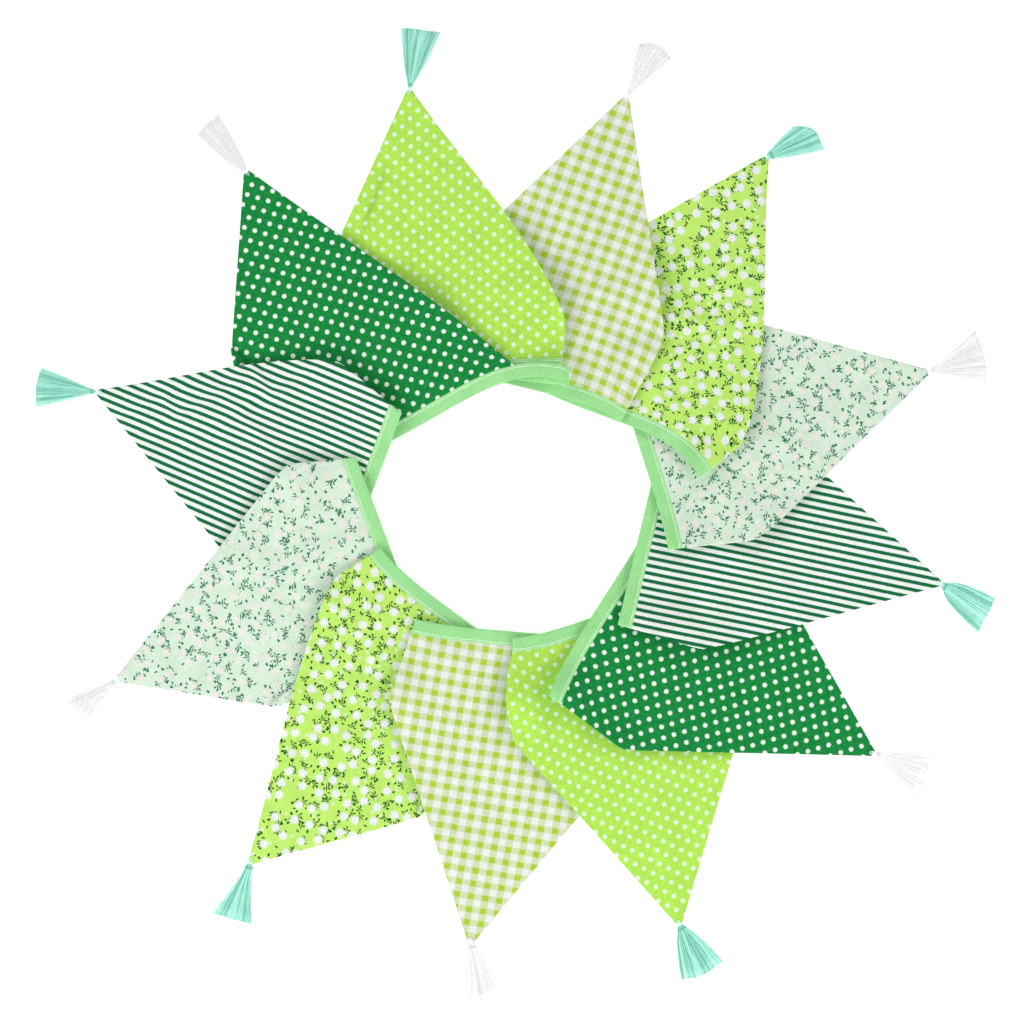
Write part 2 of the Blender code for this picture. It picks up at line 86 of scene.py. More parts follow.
# One row for each flag, clockwise from the top. side and open_side are the directions of the
# clockwise and the other edge from the tip; open_length reaches from the tip to the fold on the
# other edge. end is the corner where the tape turns under, and heading the way it runs from there.
# The tape bows into the flag by tape_bow, most at bow_peak of its run. side_bow is how far the
# clockwise edge bulges between tip and fold, and fold_bow how far the fold itself bulges.
# print_turn is the direction of the print's rows, and softness how round the folded corners are.
Flag = namedtuple("Flag", "cloth tip_x tip_y side open_side open_length end_x end_y heading "
                          "bow_peak tape_bow side_bow fold_bow print_turn softness")
FLAGS = (
    Flag("lime_dots",    -72,  295,  304.9, 244.9, 133,   33,  107, 182.0, 0.25,  0.0, 5.4,  3, -43.8, 10),
    Flag("gingham",       80,  290,  279.2, 222.8, 133,   79,   71, 161.9, 0.25,  4.7, 0.0,  0, -20.6, 12),
    Flag("lime_floral",  178,  248,  265.6, 209.2, 133,  138,   31, 151.5, 0.25, 10.0, 6.5,  0,  10.0, 30),
    Flag("mint_floral",  291,   98,  225.0, 164.1, 137,  118,  -24, 106.1, 0.25,  1.5, 0.0,  0,  40.0, 40),
    Flag("stripes",      300,  -50,  195.4, 136.8, 130,   83,  -80,  76.5, 0.25,  0.0, 1.0,  0, -11.8, 16),
    Flag("green_dots",   253, -169,  179.1, 118.9, 130,   34, -132,  59.4, 0.25, -2.7, 0.0,  0,   9.0, 10),
    Flag("lime_dots",    117, -288,  132.3,  72.5, 140,    2,  -97,  15.8, 0.25,  2.8, 0.0,  6, -34.5, 12),
    Flag("gingham",      -29, -301,  108.7,  49.3, 130,  -69,  -84, 353.9, 0.25,  2.0, 0.0,  0,  -9.9, 10),
    Flag("lime_floral", -183, -245,   73.6,  14.8, 120,  -99,  -31, 320.8, 0.25,  3.7, 4.5,  0,  75.0, 12),
    Flag("mint_floral", -276, -117,   51.9, 349.8, 108, -118,   36, 290.5, 0.25,  0.0, 0.0,  0,  20.0, 16),
    Flag("stripes",     -290,   84,    7.5, 308.2, 150,  -85,   74, 249.4, 0.25,  0.0, 4.5,  0, -22.4, 24),
    Flag("green_dots",  -186,  238,  323.9, 265.3, 124,   39,  100, 200.0, 0.22, 15.5, 2.5,  0, -24.6, 10),
)

# One row for each tassel: the way it points, its width at the tie and at the end, how soon it
# widens (1 is evenly), and its length from the tip to the cut at its left, middle and right
Tassel = namedtuple("Tassel", "yarn heading neck spread belly left middle right")
TASSELS = (
    Tassel("mint",   79, 3.5, 28, 0.75, 42, 43.5, 44.5),
    Tassel("white",  59, 3.5, 28, 1.05, 37, 43.0, 40.0),
    Tassel("mint",   27, 6.0, 28, 0.75, 27, 39.5, 38.5),
    Tassel("white",  15, 4.5, 42, 1.05, 40, 41.5, 37.0),
    Tassel("mint",  325, 5.5, 28, 0.45, 37, 39.5, 41.5),
    Tassel("white", 339, 5.0, 38, 1.00, 36, 40.0, 39.0),
    Tassel("mint",  296, 6.0, 34, 0.70, 37, 40.0, 36.0),
    Tassel("white", 284, 7.0, 28, 0.95, 39, 42.0, 43.5),
    Tassel("mint",  252, 5.5, 29, 1.15, 41, 42.0, 42.5),
    Tassel("white", 218, 4.5, 23, 1.00, 36, 37.5, 39.0),
    Tassel("mint",  175, 3.5, 30, 0.90, 42, 43.5, 40.5),
    Tassel("white", 129, 5.0, 21, 0.60, 42, 43.5, 44.0),
)

# One row for each crease pressed into a flag: the flag, the crease's middle and direction, its length,
# width and height, how much cloth it takes up, and how dark a line of painted shade it leaves, where below
# 0 gives a pale line of painted highlight
Crease = namedtuple("Crease", "flag x y heading length width height take line")
CREASES = (
    Crease(1,   -97,  217, 250,  64, 2.8, 1.30, 0.6,  0.8),
    Crease(2,    52,  172, -66,  60, 9.0, 1.30, 0.0,  0.0),
    Crease(3,   128,  134, -13,  62, 9.0, 1.60, 0.0,  0.0),
    Crease(6,   150, -140,  20,  80, 8.0, 1.00, 0.0,  0.0),
    Crease(10, -159, -124,  48,  38, 3.0, 0.90, 0.0, -0.4),
    Crease(11, -175,   92, -57,  32, 4.0, 1.50, 3.2,  0.2),
    Crease(11, -239,   75, -63,  24, 3.5, 1.20, 2.2,  0.2),
    Crease(11, -187,   66, -49, 100, 6.0, 1.10, 1.4,  0.0),
)

# One row for each place where a flag's edge stands up from the flag that it lies on: the flag,
# the place, how far round it the cloth rises, and how high
Lift = namedtuple("Lift", "flag x y reach height")
LIFTS = (
    Lift(1,     9,  194, 32, 2.9),
    Lift(1,    31,  155, 38, 5.8),
    Lift(2,   100,  162, 36, 4.3),
    Lift(3,   170,   64, 36, 2.9),
    Lift(3,   131,   29, 30, 4.2),
    Lift(4,   174,  -13, 36, 2.9),
    Lift(4,   112,  -25, 26, 3.6),
    Lift(5,   104,  -86, 36, 5.8),
    Lift(5,   146,  -97, 36, 3.6),
    Lift(6,    31, -130, 36, 8.7),
    Lift(6,    62, -160, 32, 4.3),
    Lift(7,     2, -132, 34, 5.8),
    Lift(8,   -85, -125, 32, 3.6),
    Lift(9,  -131,  -62, 32, 2.2),
    Lift(10, -148,   22, 36, 3.6),
    Lift(11, -120,  106, 46, 4.3),
    Lift(11,  -89,   78, 36, 5.8),
    Lift(12,  -57,  150, 44, 4.2),
    Lift(12,   34,   96, 26, 4.4),
)

# Cloth
EDGE_THIN = 1.6          # width over which a turned edge rounds off
EDGE_SHARE = 0.45        # thickness left at the very edge, as a share
EDGE_LINE = 1.1          # width of the line of painted shade along a turned edge
SEAM_ALLOWANCE = 8.5     # turned-in cloth inside a flag's edges
SEAM_STEP = 1.4          # width of the ridge where it ends
UNDERLAP = 1.4           # flag's raw edge that lies inside the tape
WAVE_LENGTH = 34.0       # of the slow waves that all layers share
WAVE = 1.3               # height of those waves
DRIFT_LENGTH = 70.0      # over which the cloth's grain wanders
PRINT_DRIFT = 0.5        # how far it wanders
SHARP_SHARE = 0.28       # part of a layer's rise that shows as a soft ridge in the cloth over it
SHARP_RAMP = 9.0         # width of that ridge
TAIL_ROUND = 3.2         # radius of the corners at the tape's folded end
TAIL_SLIP = 2.6          # how far that end has slipped out from under itself
TAPE_CELL = 2.5          # spacing of stations along the tape
TAPE_OVERLAP = 0.7       # tape's edge beyond the sewn edge, over the flag
STITCH_SHARE = 0.80      # place of the stitching across the tape, from its folded edge
BEND_STEPS = 8
TURN_PASSES = 4          # rounds that settle the length of a flag's stretch of tape
WAVE_SEED = 3.7          # picks the pattern of the slow waves
DRIFT_SEED, DRIFT_SPREAD = 50, 3.1  # pick each flag's own drift of the grain
BASE_SAMPLES = 80        # points along a sewn edge that carry its bow into the flag
EDGE_SAMPLES = 90        # points along a sewn edge that the tape's edges are drawn from
BULGE_SCALE = 27 / 4     # brings the peak of a side's bulge to 1
ROUNDED_ENDS = [0.0, 0.5, 1.2, 2.2]  # places of the closer points where an edge rounds off
FLOOR_SHARE = 0.98       # most of its height that a flag's under side may hang below its middle
CREASE_FADE = 1.6        # how sharply a crease ends; 1 is evenly
CREASE_REACH = 40.0      # how far the cloth beside a crease is drawn in


def direction(degrees):
    """Unit vector in plan."""
    return Vector((math.cos(math.radians(degrees)), math.sin(math.radians(degrees))))


def right_of(vector):
    """The vector turned a quarter turn clockwise: from the tape this points into the flag."""
    return Vector((vector.y, -vector.x))


def facing(vector, other):
    """The vector, or its opposite, whichever points the same way as the other one."""
    return -vector if vector.dot(other) < 0 else vector


def travelled(points):
    """Distance of each of a row of points from the first, along the row."""
    return np.concatenate([[0], np.cumsum(np.linalg.norm(np.diff(points, axis=0), axis=1))])


def meet(point_a, vector_a, point_b, vector_b):
    """Where two lines in plan cross."""
    across = right_of(vector_b)
    return point_a + vector_a * ((point_b - point_a).dot(across) / vector_a.dot(across))


def split(length, step):
    """How many equal pieces of about the given step a length takes."""
    return max(1, round(length / step))


def smooth(values):
    """Soft step from 0 to 1."""
    share = np.clip(values, 0.0, 1.0)
    return share * share * (3 - 2 * share)


# ------------------------------------------------------------------ the lay in plan

class Lay:
    """Where one flag and its stretch of tape lie in plan."""

    def __init__(self, row):
        self.row = row
        self.tip = Vector((row.tip_x, row.tip_y))
        self.end = Vector((row.end_x, row.end_y))
        self.along = direction(row.heading)
        self.into = right_of(self.along)
        self.open_corner = self.tip + direction(row.open_side) * row.open_length
        self.run = FIRST_RUN
        self.set_start()

    def set_start(self):
        """The tape's first short piece, and how much of the flag's base is folded under there."""
        self.start = (self.tape_point(1 / TAPE_STEPS) - self.end).normalized()
        corner = meet(self.tip, direction(self.row.side), self.end, self.start)
        self.tuck = (self.end - corner).dot(self.start)

    def tape_point(self, share):
        """A point of the flag's sewn edge, at a share of the tape's run."""
        peak = self.row.bow_peak
        power = 1 / peak - 1
        bow = share * (1 - share) ** power / (peak * (1 - peak) ** power)
        return self.end + self.along * self.run * share + self.into * self.row.tape_bow * bow

    @property
    def far(self):
        """The point where the tape turns over."""
        return self.end + self.along * self.run


def lay_out():
    """Work out every flag's lay, so that each stretch of tape between two flags has its length."""
    lays = [Lay(row) for row in FLAGS]
    last = lays[-1]
    for index in range(1, len(lays)):
        lay, before = lays[index], lays[index - 1]
        for _ in range(TURN_PASSES):
            tape = FLAG_BASE + TAPE_GAP - lay.tuck + before.tuck
            offset = before.end - lay.end
            level, aside = offset.dot(lay.along), offset.dot(lay.into)
            lay.run = (tape ** 2 - level ** 2 - aside ** 2) / (2 * (tape - level))
            lay.set_start()
    for index, lay in enumerate(lays):
        below = lays[(index + 1) % len(lays)]
        above = lays[index - 1]
        lay.back = (lay.end - below.far).normalized()
        lay.onward = (above.end - lay.far).normalized()
        if lay is last:
            lay.back = -direction(math.degrees(math.atan2(lay.start.y, lay.start.x)) + TAIL_TURN)
        lay.end_fold = facing((lay.back + lay.start).normalized(), lay.into)
        lay.far_fold = facing((lay.along + lay.onward).normalized(), lay.into)
        lay.first_share = TAIL / lay.run if lay is last else 0.0
        if lay is last:
            lay.shoulder = lay.tape_point(lay.first_share)
        else:
            lay.shoulder = meet(lay.end, lay.end_fold, lay.tip, direction(lay.row.side))
        lay.flap = FLAG_BASE - lay.tuck - lay.run
        lay.outline = flag_outline(lay)
    return lays


def tip_half(lay):
    """Half of a flag's blunt tip, toward its open edge."""
    return right_of(((lay.end + lay.far) / 2 - lay.tip).normalized()) * (TIP_WIDTH / 2)


def flag_outline(lay):
    """Corners in plan of a flag with its tape, as an array."""
    half = tip_half(lay)
    inward = SEAM + TAPE_WIDTH
    corners = [lay.tip - half, lay.shoulder]
    if lay.first_share:
        corners.append(lay.end)
    corners.append(lay.end - lay.end_fold * (inward / lay.end_fold.dot(lay.into)))
    corners.append(lay.far - lay.far_fold * (inward / lay.far_fold.dot(lay.into)))
    corners += [lay.open_corner, lay.tip + half]
    return np.array([tuple(corner) for corner in corners])


def distance_outside(outline, points):
    """Distances in plan from points to an outline, or zero inside it."""
    edge = np.roll(outline, -1, axis=0) - outline
    reach = points[:, None] - outline[None]
    share = np.clip((reach * edge).sum(2) / (edge ** 2).sum(1), 0, 1)
    nearest = np.linalg.norm(reach - edge * share[..., None], axis=2).min(1)
    above = (reach[..., 1] < 0) != (reach[..., 1] < edge[:, 1])
    with np.errstate(divide="ignore", invalid="ignore"):
        crossing = edge[:, 0] * reach[..., 1] / edge[:, 1]
    inside = (above & (reach[..., 0] < crossing)).sum(1) % 2 == 1
    return np.where(inside, 0.0, nearest)


def level_at(lays, index, points):
    """Mid-surface heights of a flag over the flags that lie under it."""
    height = SOLID_SHEET / 2 + WAVE * (0.5 + 0.5 * slow_noise(points, WAVE_LENGTH, WAVE_SEED))
    for step in range(LAYERS_BELOW + 1):
        flag = (index + step) % len(lays)
        height += lift_at(flag + 1, points)
        if step:
            beyond = distance_outside(lays[flag].outline, points) - EDGE_MARGIN
            rise = (1 - SHARP_SHARE) * smooth(1 - beyond / RAMP)
            height += STACK * (rise + SHARP_SHARE * smooth(1 - beyond / SHARP_RAMP))
    return height


def lift_at(number, points):
    """How far one flag stands up from the one below it."""
    height = np.zeros(len(points))
    for lift in (row for row in LIFTS if row.flag == number):
        distance = np.linalg.norm(points - np.array([lift.x, lift.y]), axis=1)
        height += lift.height * smooth(1 - distance / lift.reach)
    return height


def slow_noise(points, length, seed):
    """Smooth noise at plan points, between -1 and 1."""
    return np.array([noise.noise(Vector((x / length, y / length, seed))) for x, y in points])


def bend(fold, away, over):
    """Offsets in plan, rise, normal and cloth used, at each step of a half turn about a fold."""
    side = facing(right_of(fold), away)
    turn = 1 if over else -1
    steps = []
    for step in range(1, BEND_STEPS + 1):
        angle = math.pi * step / BEND_STEPS
        rise = turn * BEND * (1 - math.cos(angle))
        flat = side * (-turn * math.sin(angle))
        normal = Vector((flat.x, flat.y, math.cos(angle)))
        steps.append((side * (BEND * math.sin(angle)), rise, normal, side * (BEND * angle)))
    return steps


# ------------------------------------------------------------------ cloth meshes

class Sheet:
    """A thin closed cloth, built from rows of nodes joined one to the next."""

    def __init__(self):
        self.plan = []
        self.pattern = []
        self.rise = []
        self.normal = []
        self.triangles = []

    def add_row(self, points, patterns, rise=0.0, normal=UP):
        """Add nodes at plan points, with their places on the flat cloth."""
        first = len(self.plan)
        self.plan += [tuple(point) for point in points]
        self.pattern += [tuple(pattern) for pattern in patterns]
        self.rise += [rise] * len(points)
        self.normal += [tuple(normal)] * len(points)
        return list(range(first, len(self.plan)))

    def join(self, row, following):
        """Fill between two rows of any lengths with triangles that face up."""
        here = there = 0
        while here < len(row) - 1 or there < len(following) - 1:
            next_here = (here + 1) / max(1, len(row) - 1)
            next_there = (there + 1) / max(1, len(following) - 1)
            step_here = here < len(row) - 1
            if step_here and there < len(following) - 1:
                step_here = next_here <= next_there
            if step_here:
                self.triangles.append((row[here], row[here + 1], following[there]))
                here += 1
            else:
                self.triangles.append((row[here], following[there + 1], following[there]))
                there += 1

    def solid(self, height, upper, lower):
        """Vertices and faces of the cloth, given each node's height and half thicknesses."""
        middle = np.column_stack([np.array(self.plan), height])
        normal = np.array(self.normal)
        vertices = np.vstack([middle + normal * upper[:, None], middle - normal * lower[:, None]])
        count = len(self.plan)
        faces = list(self.triangles)
        faces += [(c + count, b + count, a + count) for a, b, c in self.triangles]
        edges = {(t[i], t[(i + 1) % 3]) for t in self.triangles for i in range(3)}
        for a, b in sorted(edges):
            if (b, a) not in edges:
                faces.append((b, a, a + count))
                faces.append((b, a + count, b + count))
        return vertices, faces


def make_piece(name, vertices, faces, coordinates, material, hub, shades=None):
    """An object of the garland from vertices in millimetres about its hub."""
    mesh = bpy.data.meshes.new(name)
    place = (np.asarray(vertices) + np.array([hub.x, hub.y, 0.0])) * MM
    mesh.from_pydata(place.tolist(), [], faces)
    cloth = mesh.attributes.new("cloth", "FLOAT_VECTOR", "POINT")
    cloth.data.foreach_set("vector", np.asarray(coordinates, dtype=np.float32).ravel())
    if shades is not None:
        shade = mesh.attributes.new("shade", "FLOAT", "POINT")
        shade.data.foreach_set("value", np.asarray(shades, dtype=np.float32))
    mesh.materials.append(material)
    mesh.shade_smooth()
    piece = bpy.data.objects.new(name, mesh)
    bpy.context.scene.collection.objects.link(piece)
    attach(piece, "root")
    return piece


def find_hub(lays):
    """Where the middle of the photo's ring lies in the frame, in millimetres."""
    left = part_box("flag_11_stripes")[0].x / MM
    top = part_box("flag_01_lime_dots")[1].y / MM
    tips = [(lays[i].tip - tip_half(lays[i]), lays[i].tip + tip_half(lays[i])) for i in (10, 0)]
    return Vector((left - min(p.x for p in tips[0]), top - max(p.y for p in tips[1])))


def spaced(length, cell):
    """Shares along a row of cloth, closer together at both ends where the edge rounds off."""
    near = ROUNDED_ENDS
    if length < 4 * near[-1]:
        count = split(length, near[-1] / 2)
        return [k / count for k in range(count + 1)]
    inner = split(length - 2 * near[-1], cell)
    start = near[-1] / length
    middle = [start + (1 - 2 * start) * k / inner for k in range(1, inner)]
    ends = [value / length for value in near]
    return ends + middle + [1 - share for share in reversed(ends)]


def rounded(points, corner, passes):
    """A row of plan points with the bend at one corner softened."""
    points = [point.copy() for point in points]
    reach = passes + 2
    low, high = max(1, corner - reach), min(len(points) - 1, corner + reach)
    for _ in range(passes):
        before = [point.copy() for point in points]
        for k in range(low, high):
            points[k] = (before[k - 1] + before[k] * 2 + before[k + 1]) / 4
    return points


def side_bulge(share):
    """Shape of a bulging long edge: 1 where it bulges most, nearer to the fold than to the tip."""
    return BULGE_SCALE * share * share * (1 - share)


def flag_rows(lay, cell):
    """Rows of plan and pattern points across a flag's face, from the tip to the sewn edge."""
    half = tip_half(lay)
    row = lay.row
    side_bow = right_of(lay.tip - lay.shoulder).normalized() * row.side_bow
    left, right = lay.tip - half, lay.tip + half
    side_length = (lay.shoulder - left).length
    open_share = min(1.0, row.open_length / side_length)
    long_rows = split(row.open_length, cell)
    mid_rows = split(side_length * (1 - open_share), cell)
    fold_rows = 0 if lay.first_share else split((lay.end - lay.shoulder).length, cell)
    total = long_rows + mid_rows + fold_rows
    fold_bow = right_of(lay.shoulder - lay.end).normalized() * row.fold_bow
    lefts, rights = [], []
    for step in range(total + 1):
        if step <= long_rows:
            share = open_share * step / long_rows
            rights.append(right.lerp(lay.open_corner, step / long_rows))
        else:
            share = open_share + (1 - open_share) * (step - long_rows) / mid_rows
            place = (step - long_rows) / (mid_rows + fold_rows)
            rights.append(lay.open_corner.lerp(lay.far, place))
        if step <= long_rows + mid_rows:
            lefts.append(left.lerp(lay.shoulder, share) + side_bow * side_bulge(share))
        else:
            place = (step - long_rows - mid_rows) / fold_rows
            lefts.append(lay.shoulder.lerp(lay.end, place) + fold_bow * 4 * place * (1 - place))
    if fold_rows:
        lefts = rounded(lefts, long_rows + mid_rows, row.softness)
    rights = rounded(rights, long_rows, row.softness)
    bare = lay.first_share
    base = [lay.tape_point(bare + (1 - bare) * k / BASE_SAMPLES) for k in range(BASE_SAMPLES + 1)]
    rows = []
    for step in range(total + 1):
        weight = (step / total) ** 3
        plans, flats = [], []
        for across in spaced((rights[step] - lefts[step]).length, cell):
            flat = lefts[step].lerp(rights[step], across)
            if step == total:
                flat = flat - lay.into * UNDERLAP
            flats.append(flat)
            plans.append(flat + base_bow(base, across) * weight)
        rows.append((plans, flats))
    return rows, long_rows + mid_rows, long_rows


def base_bow(base, across):
    """How far the sewn edge stands off the straight line between its ends."""
    place = across * (len(base) - 1)
    low = min(int(place), len(base) - 2)
    point = base[low].lerp(base[low + 1], place - low)
    normal = right_of((base[-1] - base[0]).normalized())
    return normal * (point - base[0]).dot(normal)


def flag_sheet(lay, cell):
    """One flag, with the corner that is folded under and the one that is folded over."""
    sheet = Sheet()
    rows, shoulder_row, open_row = flag_rows(lay, cell)
    placed = [sheet.add_row(plans, flats) for plans, flats in rows]
    for row, following in zip(placed, placed[1:]):
        sheet.join(row, following)
    if not lay.first_share:
        under = [row[0] for row in placed[shoulder_row:]]
        corner = lay.end - lay.back * lay.tuck + lay.into * (FLAP_SEAM - SEAM)
        add_flap(sheet, cell, under, corner, lay.end_fold, -lay.start, False)
    over = [row[-1] for row in reversed(placed[open_row:])]
    corner = lay.far + lay.onward * lay.flap + lay.into * (FLAP_SEAM - SEAM)
    fold = (lay.open_corner - lay.far).normalized()
    add_flap(sheet, cell, over, corner, fold, lay.along, True)
    return sheet


def add_flap(sheet, cell, edge, corner, fold, away, over):
    """Fold the cloth beyond a row of nodes flat onto the flag, down to the folded corner."""
    feet = [Vector(sheet.plan[i]) for i in edge]
    drift = [Vector(sheet.pattern[i]) - foot for i, foot in zip(edge, feet)]
    steps = bend(fold, away, over)
    row = edge
    for offset, rise, normal, used in steps:
        points = [foot + offset for foot in feet]
        flats = [foot + used + shift for foot, shift in zip(feet, drift)]
        following = sheet.add_row(points, flats, rise, normal)
        sheet.join(row, following)
        row = following
    used = steps[-1][3]
    side = used.normalized()
    rise = LEVEL if over else -LEVEL
    reach = max(abs((corner - foot).dot(side)) for foot in feet)
    count = split(reach, cell)
    for step in range(1, count + 1):
        share = step / count
        start, stop = feet[0].lerp(corner, share), feet[-1].lerp(corner, share)
        points, flats = [], []
        shares = spaced((stop - start).length, cell) if step < count else [0.5]
        for across in shares:
            point = start.lerp(stop, across)
            shift = drift[0].lerp(drift[-1], across) * (1 - share)
            points.append(point)
            flats.append(point + side * (2 * (feet[0] - point).dot(side)) + used + shift)
        following = sheet.add_row(points, flats, rise, -UP)
        sheet.join(row, following)
        row = following


def line_distance(points, start, heading):
    """Distances of points to a line in plan, positive to its left."""
    along = direction(heading)
    return (points[:, 1] - start.y) * along.x - (points[:, 0] - start.x) * along.y


def edge_distance(lay, pattern):
    """Distances on the flat cloth from a flag's two long edges."""
    half = tip_half(lay)
    side = np.array(lay.shoulder - lay.tip + half)
    share = (pattern - np.array(lay.tip - half)) @ side / (side @ side)
    bulge = lay.row.side_bow * side_bulge(np.clip(share, 0, 1))
    near = bulge - line_distance(pattern, lay.tip - half, lay.row.side)
    far = line_distance(pattern, lay.tip + half, lay.row.open_side)
    return np.maximum(np.minimum(near, far), 0.0)


def seam_profile(edge, thickness, seam_rise):
    """Half thickness of a flag: thin at its turned edges, and thicker over the turned-in cloth."""
    body = EDGE_SHARE + (1 - EDGE_SHARE) * np.sqrt(np.clip(edge / EDGE_THIN, 0, 1))
    ridge = 1 - smooth((edge - SEAM_ALLOWANCE) / SEAM_STEP)
    return thickness / 2 * body + seam_rise * ridge * smooth(edge / EDGE_THIN)


def crease_flag(number, plan, pattern, face):
    """Heights and lines of painted shade of a flag's creases; the pattern is shifted by what they take up.
    """
    height, line = np.zeros(len(plan)), np.zeros(len(plan))
    for crease in (row for row in CREASES if row.flag == number):
        along = direction(crease.heading)
        offset = plan - np.array([crease.x, crease.y])
        run = offset @ np.array(along)
        off = offset @ np.array(right_of(along))
        fade = smooth(CREASE_FADE * (1 - np.abs(run) / (crease.length / 2)))
        ridge = np.exp(-(off / (crease.width / 2)) ** 2)
        height += crease.height * ridge * fade * face
        line += crease.line * ridge * fade * face
        shift = np.tanh(off / crease.width) * np.exp(-np.abs(off) / CREASE_REACH) * fade * face
        pattern += np.outer(shift * crease.take / 2, np.array(right_of(along)))
    return height, line


def dress_flag(lays, index, settings, material, hub):
    """Make one flag's cloth in the place of its solid."""
    lay = lays[index]
    sheet = flag_sheet(lay, settings.cell / MM)
    plan, rise = np.array(sheet.plan), np.array(sheet.rise)
    pattern = np.array(sheet.pattern)
    face = (np.abs(rise) < 0.01).astype(float)
    edge = edge_distance(lay, pattern)
    half = seam_profile(edge, settings.thickness / MM, settings.seam_rise / MM)
    ridges, creased = crease_flag(index + 1, plan, pattern, face)
    height = level_at(lays, index, plan) + rise + ridges
    seed = DRIFT_SPREAD * index + DRIFT_SEED
    for axis in (0, 1):
        pattern[:, axis] += slow_noise(plan, DRIFT_LENGTH, seed + axis) * PRINT_DRIFT
    lower = np.where(face > 0, np.minimum(half, height * FLOOR_SHARE), half)
    vertices, faces = sheet.solid(height, half, lower)
    turn = Matrix.Rotation(math.radians(-lay.row.print_turn), 2)
    flat = (pattern - np.array(lay.tip)) @ np.array(turn).T
    coordinates = np.column_stack([flat, np.zeros(len(flat))])
    name = f"cotton_flag_{index + 1:02d}"
    # Painted shade along the turned edges, with the creases' painted lines
    line = 1 - smooth(edge / EDGE_LINE) + creased
    piece = make_piece(name, vertices, faces, np.vstack([coordinates] * 2), material, hub,
                       np.concatenate([line] * 2))
    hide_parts(f"flag_{index + 1:02d}_{lay.row.cloth}")
    return piece


# ------------------------------------------------------------------ the tape

def trimmed(points, start, start_fold, stop, stop_fold):
    """The part of a row of plan points between two fold lines."""
    for point, fold, keep in ((start, start_fold, 1), (stop, stop_fold, -1)):
        across = facing(right_of(fold), points[-1] - points[0])
        sides = [(p - point).dot(across) * keep for p in points]
        kept = []
        for k in range(len(points) - 1):
            if sides[k] >= 0:
                kept.append(points[k])
            if (sides[k] >= 0) != (sides[k + 1] >= 0):
                kept.append(points[k].lerp(points[k + 1], sides[k] / (sides[k] - sides[k + 1])))
        if sides[-1] >= 0:
            kept.append(points[-1])
        points = kept
    return points


def evenly(points, count):
    """Points at equal distances along a row of points."""
    array = np.array([tuple(point) for point in points])
    length = travelled(array)
    places = np.linspace(0, length[-1], count + 1)
    return [Vector([np.interp(place, length, array[:, axis]) for axis in range(array.shape[1])])
            for place in places]


def rounded_end(edges, lay, slip=0.0):
    """Draw in both edges of the tape near its folded end, so that the end has round corners,
    and shift them aside by a share of the slip."""
    inward = facing(right_of(lay.end_fold), lay.start)
    aside = -lay.end_fold * TAIL_SLIP * slip
    edges = [edge + aside for edge in edges]
    reach = max(0.0, (edges[0].lerp(edges[1], 0.5) - lay.end).dot(inward) + BEND)
    if reach >= TAIL_ROUND:
        return edges
    inset = TAIL_ROUND - math.sqrt(TAIL_ROUND ** 2 - (TAIL_ROUND - reach) ** 2)
    shift = (edges[1] - edges[0]).normalized() * inset
    return [edges[0] + shift, edges[1] - shift]


def run_edges(lay):
    """Both edges of the tape along a flag, from its turn under to its turn over."""
    points = [lay.tape_point(k / EDGE_SAMPLES) for k in range(EDGE_SAMPLES + 1)]
    lead = (points[0] - points[1]).normalized() * 2 * TAPE_WIDTH
    follow = (points[-1] - points[-2]).normalized() * 2 * TAPE_WIDTH
    points = [points[0] + lead] + points + [points[-1] + follow]
    count = split(lay.run, TAPE_CELL)
    edges = []
    for inward in (SEAM + TAPE_WIDTH, -TAPE_OVERLAP):
        edge = []
        for k, point in enumerate(points):
            before, after = points[max(0, k - 1)], points[min(len(points) - 1, k + 1)]
            edge.append(point - right_of((after - before).normalized()) * inward)
        edge = trimmed(edge, lay.end, lay.end_fold, lay.far, lay.far_fold)
        edges.append(evenly(edge, count))
    return list(zip(*edges))


# Cross-section of the folded tape: share of its width from the folded edge, and thickness share
TAPE_SECTION = ((0.0, 0.30), (0.025, 0.62), (0.07, 0.86), (0.16, 1.0), (0.34, 1.0), (0.52, 0.96),
                (0.68, 0.92), (0.76, 0.80), (0.80, 0.62), (0.84, 0.78), (0.90, 0.90),
                (0.96, 0.80), (1.0, 0.42))


TapeRow = namedtuple("TapeRow", "edges owner rise share normal")


def tape_rows(lays):
    """Rows across the tape: both plan points, the flag it lies with, its rise above that flag,
    its share of the way to the flag above and its normal, from the last flag's end to the first's."""
    rows = []
    for index in reversed(range(len(lays))):
        lay = lays[index]
        run = run_edges(lay)
        if lay is lays[-1]:
            run = [rounded_end(edges, lay) for edges in run]
            count = split(TAIL_BACK, TAPE_CELL / 2)
            plain = run_edges(lay)[0]
            for k in range(count):
                shift = -lay.back * TAIL_BACK * (1 - k / count)
                edges = rounded_end([p + shift for p in plain], lay, k / count)
                rows.append(TapeRow(edges, index, -LEVEL, 0.0, -UP))
        for offset, rise, normal, _ in reversed(bend(lay.end_fold, -lay.start, False)):
            edges = [p + offset for p in run[0]]
            if lay is lays[-1]:
                edges = rounded_end([p + offset for p in plain], lay, -rise / LEVEL)
            rows.append(TapeRow(edges, index, rise, 0.0, normal))
        rows += [TapeRow(list(edges), index, 0.0, 0.0, UP) for edges in run]
        for offset, rise, normal, _ in bend(lay.far_fold, lay.along, True):
            rows.append(TapeRow([p + offset for p in run[-1]], index, rise, 0.0, normal))
        above = lays[index - 1]
        if index:
            goal = run_edges(above)[0]
            length = (above.end - lay.far).length
        else:
            length = lay.flap + TAPE_GAP + FREE_END
            goal = [p + lay.onward * length for p in run[-1]]
        count = split(length, TAPE_CELL)
        for k in range(1, count + 1 if index == 0 else count):
            edges = [p.lerp(q, k / count) for p, q in zip(run[-1], goal)]
            rows.append(TapeRow(edges, index, LEVEL, k / count, -UP))
    return rows


